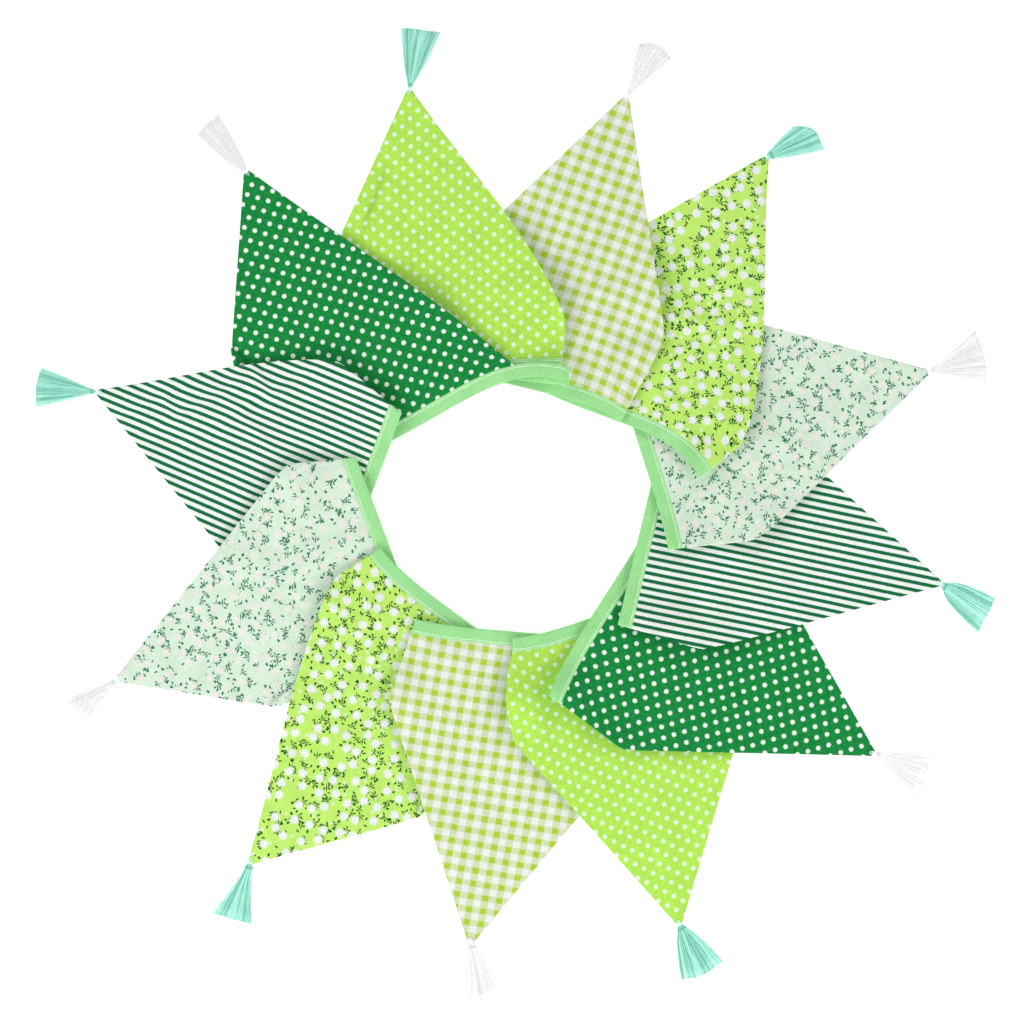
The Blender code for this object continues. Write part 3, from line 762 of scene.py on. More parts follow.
def row_heights(lays, row, plan):
    """Heights across the tape at one row."""
    height = level_at(lays, row.owner, plan) + row.rise
    if row.share:
        upper = level_at(lays, (row.owner - 1) % len(lays), plan) - LEVEL
        height += (upper - height) * row.share
    return height


def dress_tape(lays, settings, material, hub):
    """Make the folded tape, and return it with its lines of stitching and its length."""
    sheet = Sheet()
    placed, heights, length = [], [], 0.0
    before = None
    for row in tape_rows(lays):
        plan = [row.edges[0].lerp(row.edges[1], share) for share, _ in TAPE_SECTION]
        middle = row.edges[0].lerp(row.edges[1], 0.5)
        array = np.array([tuple(point) for point in plan])
        levels = row_heights(lays, row, array)
        spot = np.array([middle.x, middle.y, levels[len(levels) // 2]])
        if before is not None:
            length += float(np.linalg.norm(spot - before))
        before = spot
        width = (row.edges[1] - row.edges[0]).length
        flats = [(length, share * width) for share, _ in TAPE_SECTION]
        placed.append(sheet.add_row(plan, flats, 0.0, row.normal))
        heights.append(levels)
    for row, following in zip(placed, placed[1:]):
        sheet.join(row, following)
    height = np.concatenate(heights)
    share = np.tile([part for _, part in TAPE_SECTION], len(placed))
    half = share * settings.thickness / MM / 2
    vertices, faces = sheet.solid(height, half, half)
    pattern = np.column_stack([np.array(sheet.pattern), np.zeros(len(height))])
    # A line of painted shade along the tape's folded edge
    rim = np.tile([float(place < 0.01) for place, _ in TAPE_SECTION], 2 * len(placed))
    piece = make_piece("folded_tape", vertices, faces, np.vstack([pattern] * 2), material, hub, rim)
    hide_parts("bias_tape")
    return piece, stitch_lines(sheet, placed, height, half), length


def stitch_lines(sheet, placed, height, half):
    """The line of stitching on either side of the tape: points and the way out of the cloth."""
    number = [share for share, _ in TAPE_SECTION].index(STITCH_SHARE)
    nodes = [row[number] for row in placed]
    middle = np.column_stack([np.array(sheet.plan), height])[nodes]
    out = np.array(sheet.normal)[nodes]
    reach = half[nodes][:, None]
    return [(middle + out * reach, out), (middle - out * reach, -out)]


# One stitch: places along its pitch, and how high the thread stands over the cloth at each
STITCH_PLACES = np.array([0.06, 0.25, 0.5, 0.75, 0.94])
STITCH_ARCH = np.array([-0.10, 0.10, 0.16, 0.10, -0.10])[:, None]


def sew_stitches(lines, settings, material, hub):
    """Lay a short thread for every stitch along both lines, as one mesh."""
    pitch = settings.stitch / MM
    tube = Threads(sides=4)
    for points, out in lines:
        length = travelled(points)
        for k in range(int(length[-1] / pitch)):
            places = (k + STITCH_PLACES) * pitch
            path = np.column_stack([np.interp(places, length, points[:, a]) for a in range(3)])
            lift = np.column_stack([np.interp(places, length, out[:, a]) for a in range(3)])
            tube.add(path + lift * STITCH_ARCH, settings.stitch_width / MM / 2, 0.5)
    piece = tube.piece("edge_stitching", material, hub)
    return piece


# ------------------------------------------------------------------ threads and tassels

class Threads:
    """Many thin tubes in one mesh, each with a shade of its own."""

    def __init__(self, sides):
        self.sides = sides
        self.vertices = []
        self.faces = []
        self.coordinates = []
        self.shades = []

    def add(self, path, radius, shade):
        """A closed tube along a path of points in millimetres."""
        path = np.asarray(path)
        ahead = np.gradient(path, axis=0)
        ahead /= np.linalg.norm(ahead, axis=1)[:, None]
        across = np.cross(ahead, (0.0, 0.0, 1.0))
        across /= np.maximum(np.linalg.norm(across, axis=1), 1e-6)[:, None]
        upward = np.cross(across, ahead)
        first, count = sum(len(ring) for ring in self.vertices), len(path)
        angles = 2 * math.pi * (np.arange(self.sides) + 0.5) / self.sides
        rings = path[:, None] + radius * (
            across[:, None] * np.cos(angles)[None, :, None]
            + upward[:, None] * np.sin(angles)[None, :, None])
        self.vertices.append(rings.reshape(-1, 3))
        place = np.column_stack([np.repeat(travelled(path), self.sides), np.tile(angles, count),
                                 np.full(count * self.sides, shade)])
        self.coordinates.append(place)
        self.shades += [shade] * (count * self.sides)
        for ring in range(count - 1):
            for side in range(self.sides):
                here = first + ring * self.sides
                after = (side + 1) % self.sides
                self.faces.append((here + side, here + after,
                                   here + self.sides + after, here + self.sides + side))
        self.faces.append(tuple(first + side for side in reversed(range(self.sides))))
        last = first + (count - 1) * self.sides
        self.faces.append(tuple(last + side for side in range(self.sides)))

    def piece(self, name, material, hub):
        """One object that holds every tube."""
        vertices, coordinates = np.vstack(self.vertices), np.vstack(self.coordinates)
        return make_piece(name, vertices, self.faces, coordinates, material, hub, self.shades)


# Height of the threads' middle along a tassel: share of its length and millimetres
LIE = ((0.0, 1.4), (0.08, 1.5), (0.20, 1.6), (0.40, 1.4), (0.70, 1.0), (1.0, 0.7))
# Depth of the bundle of threads along a tassel, likewise
DEPTH = ((0.0, 1.0), (0.08, 1.2), (0.20, 1.5), (0.40, 1.3), (0.70, 0.9), (1.0, 0.5))
TASSEL_SECTIONS = 10
TASSEL_START = 1.2       # from the flag's tip to the threads
HEAD = 0.6               # width of the threads where they hang on the loop, as a share of the neck
UNEVEN_ENDS = 0.7        # difference in length between threads
TIE_START, TIE_END = 3.4, 4.8
TIE_TURNS = 3
CLUMPS = 24              # locks of threads that lie together, across a tassel
LOOP_MIDDLE = -0.3       # of the loop through the flag's tip, from that tip
LOOP_LONG, LOOP_WIDE = 2.6, 1.3
LOOP_HEIGHT, LOOP_WARP = 1.9, 0.15
LOOP_THREAD, TIE_THREAD = 0.30, 0.27  # radii of the loop's and the tie's thread
TIE_HEIGHT, TIE_RISE = 1.45, 1.05
TIE_SLACK = 0.2          # gap between the tied thread and the neck
CROWDING = 1.3           # above 1, the stations of a thread lie closer near its tie
TWIST = 6.3              # a full turn of a thread's wander, in radians
WANDER = 0.4             # usual sideways wander of a thread
LOCK_SPREAD, LOCK_TONE = 0.015, 0.20  # how far a lock moves aside and changes tone
THREAD_TONE = 0.22       # usual change of tone from thread to thread


def along_table(table, share):
    """Value at a share of a table of (share, value) rows."""
    places, values = zip(*table)
    return np.interp(share, places, values)


def cut_length(row, fan):
    """Distance from the tip to the cut end of a thread, given its place from right to left."""
    side = row.left if fan > 0 else row.right
    return row.middle + (side - row.middle) * abs(fan) ** 1.5


def half_widths(row, reach):
    """Half of a tassel's width at distances from the tip, given its head, neck and spread."""
    head = HEAD + (1 - HEAD) * smooth(reach / TIE_START)
    grown = np.clip((reach - TIE_END) / (row.middle - TIE_END), 0, 1) ** row.belly
    return (row.neck * head + (row.spread - row.neck) * grown) / 2


def dress_tassel(lay, index, row, settings, material, hub):
    """Make one tassel: threads that fan out over the surface, a wrapped tie and a loop."""
    dice = random.Random(100 + index)
    tube = Threads(sides=3)
    radius = settings.thread / MM / 2
    shares = np.linspace(0, 1, TASSEL_SECTIONS) ** CROWDING
    lie, depth = (along_table(table, shares) for table in (LIE, DEPTH))
    locks = [dice.gauss(0, 1) for _ in range(CLUMPS)]
    for number in range(settings.threads):
        fan = 2 * (number + dice.random()) / settings.threads - 1
        tier = dice.uniform(-1, 1) * math.sqrt(max(0.05, 1 - fan * fan))
        length = cut_length(row, fan) - UNEVEN_ENDS * dice.random() ** 2
        turn, twist = dice.uniform(0, TWIST), dice.uniform(0.6, 1.6)
        sway = np.sin(shares * TWIST * twist + turn) * shares * (1.2 - shares)
        wander = dice.gauss(0, WANDER) * sway
        x = TASSEL_START + (length - TASSEL_START) * shares
        lock = locks[min(CLUMPS - 1, int((fan + 1) / 2 * CLUMPS))]
        y = (fan + LOCK_SPREAD * lock) * (half_widths(row, x) - radius) + wander
        z = np.maximum(lie + tier * depth / 2, radius * 1.05)
        shade = min(1.0, max(0.0, 0.5 + LOCK_TONE * lock + dice.gauss(0, THREAD_TONE)))
        tube.add(np.column_stack([x, y, z]), radius, shade)
    tie_tassel(tube, row)
    turn = Matrix.Rotation(math.radians(row.heading), 2)
    for part in tube.vertices:
        part[:, :2] = part[:, :2] @ np.array(turn).T + np.array(lay.tip)
    piece = tube.piece(f"thread_tassel_{index + 1:02d}", material, hub)
    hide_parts(f"tassel_{index + 1:02d}_{row.yarn}")
    return piece


def tie_tassel(tube, row):
    """The thread wrapped round a tassel's neck, and its loop through the flag's tip."""
    steps = TIE_TURNS * 9
    angle = np.linspace(0, 2 * math.pi * TIE_TURNS, steps)
    x = np.linspace(TIE_START, TIE_END, steps)
    tube.add(np.column_stack([x, (row.neck / 2 + TIE_SLACK) * np.cos(angle),
                              TIE_HEIGHT + TIE_RISE * np.sin(angle)]), TIE_THREAD, 0.1)
    angle = np.linspace(0, 2 * math.pi, 28)
    loop = np.column_stack([LOOP_MIDDLE + LOOP_LONG * np.cos(angle), LOOP_WIDE * np.sin(angle),
                            LOOP_HEIGHT + LOOP_WARP * np.cos(2 * angle)])
    tube.add(loop, LOOP_THREAD, 0.8)


# ------------------------------------------------------------------ materials

def linear(code):
    """Linear colour of an sRGB hex value."""
    parts = [int(code[place:place + 2], 16) / 255 for place in (1, 3, 5)]
    return tuple(c / 12.92 if c <= 0.04045 else ((c + 0.055) / 1.055) ** 2.4 for c in parts)


def add(tree, kind, inputs=(), **settings):
    """Add a shader node, set its properties, set or link its inputs, and return its outputs."""
    node = tree.nodes.new("ShaderNode" + kind)
    for name, value in settings.items():
        setattr(node, name, value)
    for socket, value in inputs.items() if isinstance(inputs, dict) else enumerate(inputs):
        target = node.inputs[socket]
        if isinstance(value, bpy.types.NodeSocket):
            tree.links.new(value, target)
        elif target.type == "RGBA":
            target.default_value = (*value, 1.0)
        else:
            target.default_value = value
    return node.outputs


# A MapRange node with these settings and a falling range is a mask with a soft border: 0 from its
# first limit up, and 1 from its second limit down
SOFT = {"interpolation_type": "SMOOTHSTEP"}


def start_material(name):
    """A new material's tree, its shader and the flat cloth's coordinates in millimetres."""
    material = bpy.data.materials.new(name)
    material.use_nodes = True
    tree = material.node_tree
    shader = tree.nodes["Principled BSDF"]
    place = add(tree, "Attribute", attribute_name="cloth")["Vector"]
    return material, tree, shader, place


# Plain-weave cotton of about 68 threads to the inch. Its 0.37 mm threads are too fine to show
# from here, so the slubs along them are drawn 1.1 mm wide and 5 mm long.
SLUB_WIDTH, SLUB_LENGTH = 1.1, 5.0
SLUB_TONE = 0.26         # how far the slubs change the tone
SLUB_DEPTH = 0.3         # how far they stand out of the cloth
BLOTCH = 2.2             # size of the blotches that dye leaves on woven cloth
BLOTCH_TONE = 0.20       # how far the blotches change it
CLOUD = 50 / 3           # size of the wide, faint clouds in the tone
CLOUD_TONE = 0.24        # how far the clouds change it: painted shade that stands for the cloth's soft undulations
PAINTED_SHADE = 0.30        # how much painted shade darkens a turned edge, a crease's line and the tape's folded edge


def finish_cotton(tree, shader, place, colour):
    """Mottle a printed colour with uneven dye and with painted shade, and give the cloth its slubs and
    matt finish.
    """
    slubs = []
    for width, length in ((SLUB_WIDTH, SLUB_LENGTH), (SLUB_LENGTH, SLUB_WIDTH)):
        scale = (1 / width, 1 / length, 1.0)
        scaled = add(tree, "VectorMath", (place, scale), operation="MULTIPLY")[0]
        slubs.append(add(tree, "TexNoise", {"Vector": scaled, "Scale": 1.0, "Detail": 1.0})["Fac"])
    slub = add(tree, "Math", slubs, operation="ADD")[0]
    slub = add(tree, "Math", (slub, 0.5), operation="MULTIPLY")[0]
    # Wide clouds of painted shade, standing in for the cloth's soft undulations
    cloud = add(tree, "TexNoise", {"Vector": place, "Scale": 1 / CLOUD, "Detail": 3.0})["Fac"]
    blotch = add(tree, "TexNoise", {"Vector": place, "Scale": 1 / BLOTCH, "Detail": 2.0})["Fac"]
    # Painted shade, read from the shade attribute: turned edges, creases and the tape's folded edge
    edge = add(tree, "Attribute", attribute_name="shade")["Fac"]
    tone = 1 - CLOUD_TONE - BLOTCH_TONE / 2
    for part, share in ((cloud, CLOUD_TONE), (blotch, BLOTCH_TONE), (slub, SLUB_TONE),
                        (edge, -PAINTED_SHADE)):
        tone = add(tree, "Math", (part, share, tone), operation="MULTIPLY_ADD")[0]
    toned = add(tree, "VectorMath", {0: colour, "Scale": tone}, operation="SCALE")[0]
    bump = add(tree, "Bump", {"Strength": 0.4, "Distance": SLUB_DEPTH * MM, "Height": slub})[0]
    tree.links.new(toned, shader.inputs["Base Color"])
    tree.links.new(bump, shader.inputs["Normal"])
    shader.inputs["Roughness"].default_value = 0.85
    shader.inputs["Specular IOR Level"].default_value = 0.12
    shader.inputs["Sheen Weight"].default_value = 0.02
    shader.inputs["Sheen Roughness"].default_value = 0.5


DOT_SKEW = -82.3         # angle between the print's two rows of dots
RAGGED = 0.9             # ragged places in each millimetre of a dot's or a check's border
DOT_RIM = (0.65, -0.15)  # where a dot's ink ends and where it is full, outside its radius
DOT_STRAY = 0.5          # how far a dot's border strays


def dotted_cotton(name, ground, figure, row_spacing, column_spacing, dot, uneven):
    """Cotton printed with round dots in slanting rows: the dots' ink is a little soft at its rim."""
    material, tree, shader, place = start_material(name)
    parts = add(tree, "SeparateXYZ", (place,))
    skew = math.radians(DOT_SKEW)
    across = add(tree, "Math", (parts[0], math.cos(skew)), operation="MULTIPLY")[0]
    down = add(tree, "Math", (parts[1], math.sin(skew), across), operation="MULTIPLY_ADD")[0]
    steps = []
    for value, spacing in ((parts[0], column_spacing), (down, row_spacing)):
        turns = add(tree, "Math", (value, 1 / spacing, 0.5), operation="MULTIPLY_ADD")[0]
        turns = add(tree, "Math", (turns,), operation="FRACT")[0]
        steps.append(add(tree, "Math", (turns, 0.5), operation="SUBTRACT")[0])
    x = add(tree, "Math", (steps[0], column_spacing), operation="MULTIPLY")[0]
    slant = -column_spacing / math.tan(skew)
    y = add(tree, "Math", (steps[0], slant), operation="MULTIPLY")[0]
    rise = row_spacing / math.sin(skew)
    y = add(tree, "Math", (steps[1], rise, y), operation="MULTIPLY_ADD")[0]
    spot = add(tree, "CombineXYZ", (x, y))[0]
    distance = add(tree, "VectorMath", (spot,), operation="LENGTH")["Value"]
    rough = add(tree, "TexNoise", {"Vector": place, "Scale": RAGGED, "Detail": 1.0})["Fac"]
    distance = add(tree, "Math", (rough, DOT_STRAY, distance), operation="MULTIPLY_ADD")[0]
    mask = add(tree, "MapRange", (distance, *(dot / 2 + rim for rim in DOT_RIM)), **SOFT)[0]
    clouds = add(tree, "TexNoise", {"Vector": place, "Scale": 1 / BLOTCH, "Detail": 2.0})["Fac"]
    dye = add(tree, "Math", (clouds, uneven, 1 - uneven / 2), operation="MULTIPLY_ADD")[0]
    dyed = add(tree, "VectorMath", {0: ground, "Scale": dye}, operation="SCALE")[0]
    colour = add(tree, "Mix", {0: mask, 6: dyed, 7: figure}, data_type="RGBA")[2]
    finish_cotton(tree, shader, place, colour)
    return material


def from_bar(tree, value, repeat):
    """Distance from the middle of the nearest of many even bars, as a share of their repeat."""
    share = add(tree, "Math", (value, 1 / repeat), operation="MULTIPLY")[0]
    for operation, *rest in (("FRACT",), ("SUBTRACT", 0.5), ("ABSOLUTE",)):
        share = add(tree, "Math", (share, *rest), operation=operation)[0]
    return share


FLECKS = 1.6             # flecks of crossed threads in each millimetre of a check
FLECK_DEPTH = (1.3, -0.17)  # depth of colour of a crossing: the flecks times the first, and the second
BAR_STRAY = 0.12         # how far a bar's border strays, as a share of the repeat
BAR_BORDER = (0.38, 0.24)  # where a bar's colour ends and where it is full, likewise


def gingham_cotton(name, ground, figure, across_repeat, down_repeat):
    """Yarn-dyed check: bars where dyed threads cross white ones are half as deep in colour."""
    material, tree, shader, place = start_material(name)
    ragged = add(tree, "TexNoise", {"Vector": place, "Scale": RAGGED, "Detail": 2.0})["Fac"]
    parts = add(tree, "SeparateXYZ", (place,))
    bars = []
    for value, repeat in ((parts[0], across_repeat), (parts[1], down_repeat)):
        reach = from_bar(tree, value, repeat)
        reach = add(tree, "Math", (ragged, BAR_STRAY, reach), operation="MULTIPLY_ADD")[0]
        bars.append(add(tree, "MapRange", (reach, *BAR_BORDER), **SOFT)[0])
    either = add(tree, "Math", bars, operation="MAXIMUM")[0]
    both = add(tree, "Math", bars, operation="MULTIPLY")[0]
    fleck = add(tree, "TexNoise", {"Vector": place, "Scale": FLECKS, "Detail": 1.0})["Fac"]
    half = add(tree, "Math", (fleck, *FLECK_DEPTH), operation="MULTIPLY_ADD")[0]
    half = add(tree, "Math", (either, half), operation="MULTIPLY")[0]
    depth = add(tree, "Math", (half, both), operation="MAXIMUM")[0]
    colour = add(tree, "Mix", {0: depth, 6: ground, 7: figure}, data_type="RGBA")[2]
    finish_cotton(tree, shader, place, colour)
    return material


BLEEDS = 0.7             # places in each millimetre where a stripe's ink bleeds
BLEED = 0.5              # how far it bleeds
STRIPE_RIM = (0.05, -0.05)  # where its colour ends and is full, past its edge, as a share of the repeat


def striped_cotton(name, ground, figure, repeat, share):
    """Cotton printed with even stripes, whose borders bleed a little along the threads."""
    material, tree, shader, place = start_material(name)
    parts = add(tree, "SeparateXYZ", (place,))
    rough = add(tree, "TexNoise", {"Vector": place, "Scale": BLEEDS, "Detail": 2.0})["Fac"]
    drift = add(tree, "Math", (rough, BLEED, parts[1]), operation="MULTIPLY_ADD")[0]
    reach = from_bar(tree, drift, repeat)
    mask = add(tree, "MapRange", (reach, *(share / 2 + rim for rim in STRIPE_RIM)), **SOFT)[0]
    colour = add(tree, "Mix", {0: mask, 6: ground, 7: figure}, data_type="RGBA")[2]
    finish_cotton(tree, shader, place, colour)
    return material


# A sprig of the small-flower print: one row for each leaf, with its middle, direction, length and width in
# millimetres
Leaf = namedtuple("Leaf", "x y heading length width")
SPRIG = (
    Leaf(0.0, 0.0,    0, 5.2, 0.75),
    Leaf(0.3, 1.7,   38, 2.6, 1.10),
    Leaf(0.6, -1.7, -38, 2.6, 1.10),
    Leaf(-2.4, 1.7, -30, 2.3, 1.05),
    Leaf(3.6, 2.0,   80, 2.5, 1.10),
)
SINGLE = Leaf(0.0, 0.0, 0, 2.6, 1.15)
# Spacing and shift of each scatter of leaves, with the leaves that each of its spots has
PRINTED_LEAVES = ((12.5, (3.0, 1.0, 0.0), SPRIG), (13.5, (61.0, 34.0, 0.0), SPRIG[:3]),
                  (10.0, (27.0, 92.0, 0.0), (SINGLE,)))
DAISY_PITCH = 11.4
DAISY = 6.0
HEART = 3.6              # the brighter middle of a flower
PETALS = 9
RING_LEAVES = 4          # leaves set round a flower, of which some are left out
RING = DAISY * 0.80      # radius of that ring
BUD_PITCH = 14.0
BUD_SHIFT = (5.0, 8.0, 0.0)
LEAF_SCATTER, DAISY_SCATTER, BUD_SCATTER = 0.8, 0.5, 0.9  # how irregular each print's spacing is
PETAL_FRAYS = 0.8        # ragged places in each millimetre of a petal's border
FRAY = 1.4               # how far that border strays
PETAL_DEPTH = 0.18       # how deep the notches between petals are
# Distance at which each ink ends and at which it is full: from the middle for buds and seeds, from
# the radius for petals and hearts, and as a share of its half size for a leaf
LEAF_BORDER = (1.3, 0.7)
BUD_BORDER = (1.8, 0.6)
PETAL_RIM = (1.8, -0.4)
HEART_RIM = (1.1, -1.1)
SEED_BORDER = (0.65, 0.15)
# Limits for a ring leaf: across its spoke, from the ring, on the flower's side, and by luck
RING_LIMITS = ((0.26, 0.10), (1.35, 0.95), (0.2, 0.0), (0.555, 0.545))


def scatter(tree, place, pitch, shift, randomness):
    """Nearest of many scattered spots: offset from it in millimetres, and its random colour."""
    moved = add(tree, "VectorMath", (place, shift), operation="ADD")[0]
    cells = add(tree, "TexVoronoi", {"Vector": moved, "Scale": 1 / pitch, "Randomness": randomness},
                voronoi_dimensions="2D")
    offset = add(tree, "VectorMath", (moved, cells["Position"]), operation="SUBTRACT")[0]
    chance = add(tree, "SeparateColor", (cells["Color"],))
    flat = add(tree, "VectorMath", (offset, (1, 1, 0)), operation="MULTIPLY")[0]
    return flat, chance


def leaf_mask(tree, vector, leaf):
    """1 inside one leaf of the sprig."""
    moved = add(tree, "VectorMath", (vector, (leaf.x, leaf.y, 0)), operation="SUBTRACT")[0]
    turn = {"Vector": moved, "Angle": math.radians(-leaf.heading)}
    local = add(tree, "VectorRotate", turn, rotation_type="Z_AXIS")[0]
    size = (2 / leaf.length, 2 / leaf.width, 1)
    scaled = add(tree, "VectorMath", (local, size), operation="MULTIPLY")[0]
    reach = add(tree, "VectorMath", (scaled,), operation="LENGTH")["Value"]
    return add(tree, "MapRange", (reach, *LEAF_BORDER), **SOFT)[0]


def leaf_ring(tree, spin, reach, luck):
    """1 on the short leaves that point away from one side of some of the flowers."""
    spokes = add(tree, "Math", (spin, RING_LEAVES), operation="MULTIPLY")[0]
    spokes = add(tree, "Math", (spokes,), operation="SINE")[0]
    narrow = add(tree, "Math", (1.0, spokes), operation="SUBTRACT")[0]
    beyond = add(tree, "Math", (reach, RING), operation="SUBTRACT")[0]
    beyond = add(tree, "Math", (beyond,), operation="ABSOLUTE")[0]
    side = add(tree, "Math", (spin,), operation="SINE")[0]
    ring = 1.0
    for value, limits in zip((narrow, beyond, side, luck), RING_LIMITS):
        mask = add(tree, "MapRange", (value, *limits), **SOFT)[0]
        ring = add(tree, "Math", (ring, mask), operation="MULTIPLY")[0]
    return ring


def floral_cotton(name, ground, flower, heart, seed, leaf, bud):
    """Cotton printed with scattered small daisies, leafy sprigs between them and pale buds."""
    material, tree, shader, place = start_material(name)
    leaves = 0.0
    for pitch, shift, parts in PRINTED_LEAVES:
        sprig, chance = scatter(tree, place, pitch, shift, LEAF_SCATTER)
        turn = add(tree, "Math", (chance[0], 2 * math.pi), operation="MULTIPLY")[0]
        turn = {"Vector": sprig, "Angle": turn}
        sprig = add(tree, "VectorRotate", turn, rotation_type="Z_AXIS")[0]
        for part in parts:
            mask = leaf_mask(tree, sprig, part)
            leaves = add(tree, "Math", (leaves, mask), operation="MAXIMUM")[0]
    daisy, luck = scatter(tree, place, DAISY_PITCH, (0.0, 0.0, 0.0), DAISY_SCATTER)
    parts = add(tree, "SeparateXYZ", (daisy,))
    angle = add(tree, "Math", (parts[1], parts[0]), operation="ARCTAN2")[0]
    reach = add(tree, "VectorMath", (daisy,), operation="LENGTH")["Value"]
    spin = add(tree, "Math", (luck[0], 2 * math.pi, angle), operation="MULTIPLY_ADD")[0]
    ring = leaf_ring(tree, spin, reach, luck[1])
    leaves = add(tree, "Math", (leaves, ring), operation="MAXIMUM")[0]
    spot, _ = scatter(tree, place, BUD_PITCH, BUD_SHIFT, BUD_SCATTER)
    size = add(tree, "VectorMath", (spot,), operation="LENGTH")["Value"]
    ragged = add(tree, "TexNoise", {"Vector": place, "Scale": PETAL_FRAYS, "Detail": 1.0})["Fac"]
    petals = add(tree, "Math", (ragged, FRAY, reach), operation="MULTIPLY_ADD")[0]
    waves = add(tree, "Math", (spin, PETALS), operation="MULTIPLY")[0]
    waves = add(tree, "Math", (waves,), operation="SINE")[0]
    petals = add(tree, "Math", (waves, -PETAL_DEPTH, petals), operation="MULTIPLY_ADD")[0]
    colour = add(tree, "Mix", {0: leaves, 6: ground, 7: leaf}, data_type="RGBA")[2]
    for value, radius, limits, ink in ((size, 0, BUD_BORDER, bud),
                                       (petals, DAISY / 2, PETAL_RIM, flower),
                                       (reach, HEART / 2, HEART_RIM, heart),
                                       (reach, 0, SEED_BORDER, seed)):
        mask = add(tree, "MapRange", (value, *(radius + limit for limit in limits)), **SOFT)[0]
        colour = add(tree, "Mix", {0: mask, 6: colour, 7: ink}, data_type="RGBA")[2]
    finish_cotton(tree, shader, place, colour)
    return material


BIAS = 45                # degrees between the tape and its threads
FOLD_BORDER = (2.2, 0.2)  # where the painted highlight along the fold ends and where it is brightest, from the tape's edge
FOLD_HIGHLIGHT, CLOUD_FADE = 0.7, 0.5  # how pale the painted highlight on the fold and the clouds make the tape


def bias_tape_cotton(name, colour, pale):
    """Smooth dyed cotton cut on the bias: its slubs run slantwise, and a painted highlight pales the fold
    on the flag's side.
    """
    material, tree, shader, place = start_material(name)
    turn = {"Vector": place, "Angle": math.radians(BIAS)}
    slant = add(tree, "VectorRotate", turn, rotation_type="Z_AXIS")[0]
    parts = add(tree, "SeparateXYZ", (place,))
    inside = add(tree, "Math", (TAPE_WIDTH, parts[1]), operation="SUBTRACT")[0]
    # Painted highlight along the fold on the flag's side of the tape
    edge = add(tree, "MapRange", (inside, *FOLD_BORDER), **SOFT)[0]
    cloud = add(tree, "TexNoise", {"Vector": place, "Scale": 1 / CLOUD, "Detail": 2.0})["Fac"]
    fades = [add(tree, "Math", (part, share), operation="MULTIPLY")[0]
             for part, share in ((edge, FOLD_HIGHLIGHT), (cloud, CLOUD_FADE))]
    fade = add(tree, "Math", fades, operation="MAXIMUM")[0]
    dyed = add(tree, "Mix", {0: fade, 6: colour, 7: pale}, data_type="RGBA")[2]
    finish_cotton(tree, shader, slant, dyed)
    return material


# Painted light: floss and sewing thread glow a little in their own colour, to lift the shade that falls
# between the threads
THREAD_GLOW = 0.18
STRAND_GRAIN = (0.12, 0.3, 40.0)  # change of tone along a strand, round it and from one to the next
STRAND_TONE = 0.5        # how far that grain changes the strand's own tone


def silky_thread(name, dark, light):
    """Rayon floss: a smooth shiny filament whose strands catch the light unevenly."""
    material, tree, shader, place = start_material(name)
    strand = add(tree, "Attribute", attribute_name="shade")["Fac"]
    run = add(tree, "VectorMath", (place, STRAND_GRAIN), operation="MULTIPLY")[0]
    cloud = add(tree, "TexNoise", {"Vector": run, "Scale": 1.0, "Detail": 1.0})["Fac"]
    tone = add(tree, "Math", (strand, STRAND_TONE / 2), operation="SUBTRACT")[0]
    tone = add(tree, "Math", (cloud, STRAND_TONE, tone), operation="MULTIPLY_ADD")[0]
    colour = add(tree, "Mix", {0: tone, 6: dark, 7: light}, data_type="RGBA")[2]
    # The threads' colour also drives their glow: painted light
    for socket in ("Base Color", "Emission Color"):
        tree.links.new(colour, shader.inputs[socket])
    shader.inputs["Emission Strength"].default_value = THREAD_GLOW
    shader.inputs["Roughness"].default_value = 0.42
    shader.inputs["Sheen Weight"].default_value = 0.2
    return material


def studio_floor(name, colour, glow):
    """Matt white card, lit so that it stays pale right up to the cloth."""
    material, _, shader, _ = start_material(name)
    shader.inputs["Base Color"].default_value = (*colour, 1.0)
    shader.inputs["Roughness"].default_value = 0.9
    shader.inputs["Emission Color"].default_value = (1.0, 1.0, 1.0, 1.0)
    shader.inputs["Emission Strength"].default_value = glow
    return material


# Soft boxes stand in a ring round the table, so that every edge throws a soft shadow outward
SOFT_BOXES = 8
SOFT_BOX_SIZE = 1.0
SOFT_BOX_DISTANCE = 2.2
SOFT_BOX_ELEVATION = 25
BRIGHT_SIDE = 0.3        # how much stronger the light is from the brighter side
BRIGHT_ANGLE = 250       # direction in plan of that side
FLOOR_REACH = 4.0        # metres from the middle of the floor to its sides
SENSOR = 36.0            # width of the camera's sensor, in millimetres as Blender has it
PHOTO_WIDTH = 1024       # pixels


# ------------------------------------------------------------------ settings

def length_property(name, description, default):
    """A length in metres from a default in millimetres."""
    return bpy.props.FloatProperty(name=name, description=description, default=default * MM,
                                   min=0.0, unit="LENGTH", precision=4)


def colour_property(name, description, code):
    """A colour from an sRGB hex value."""
    return bpy.props.FloatVectorProperty(name=name, description=description, size=3,
                                         default=linear(code), min=0.0, max=1.0, subtype="COLOR")


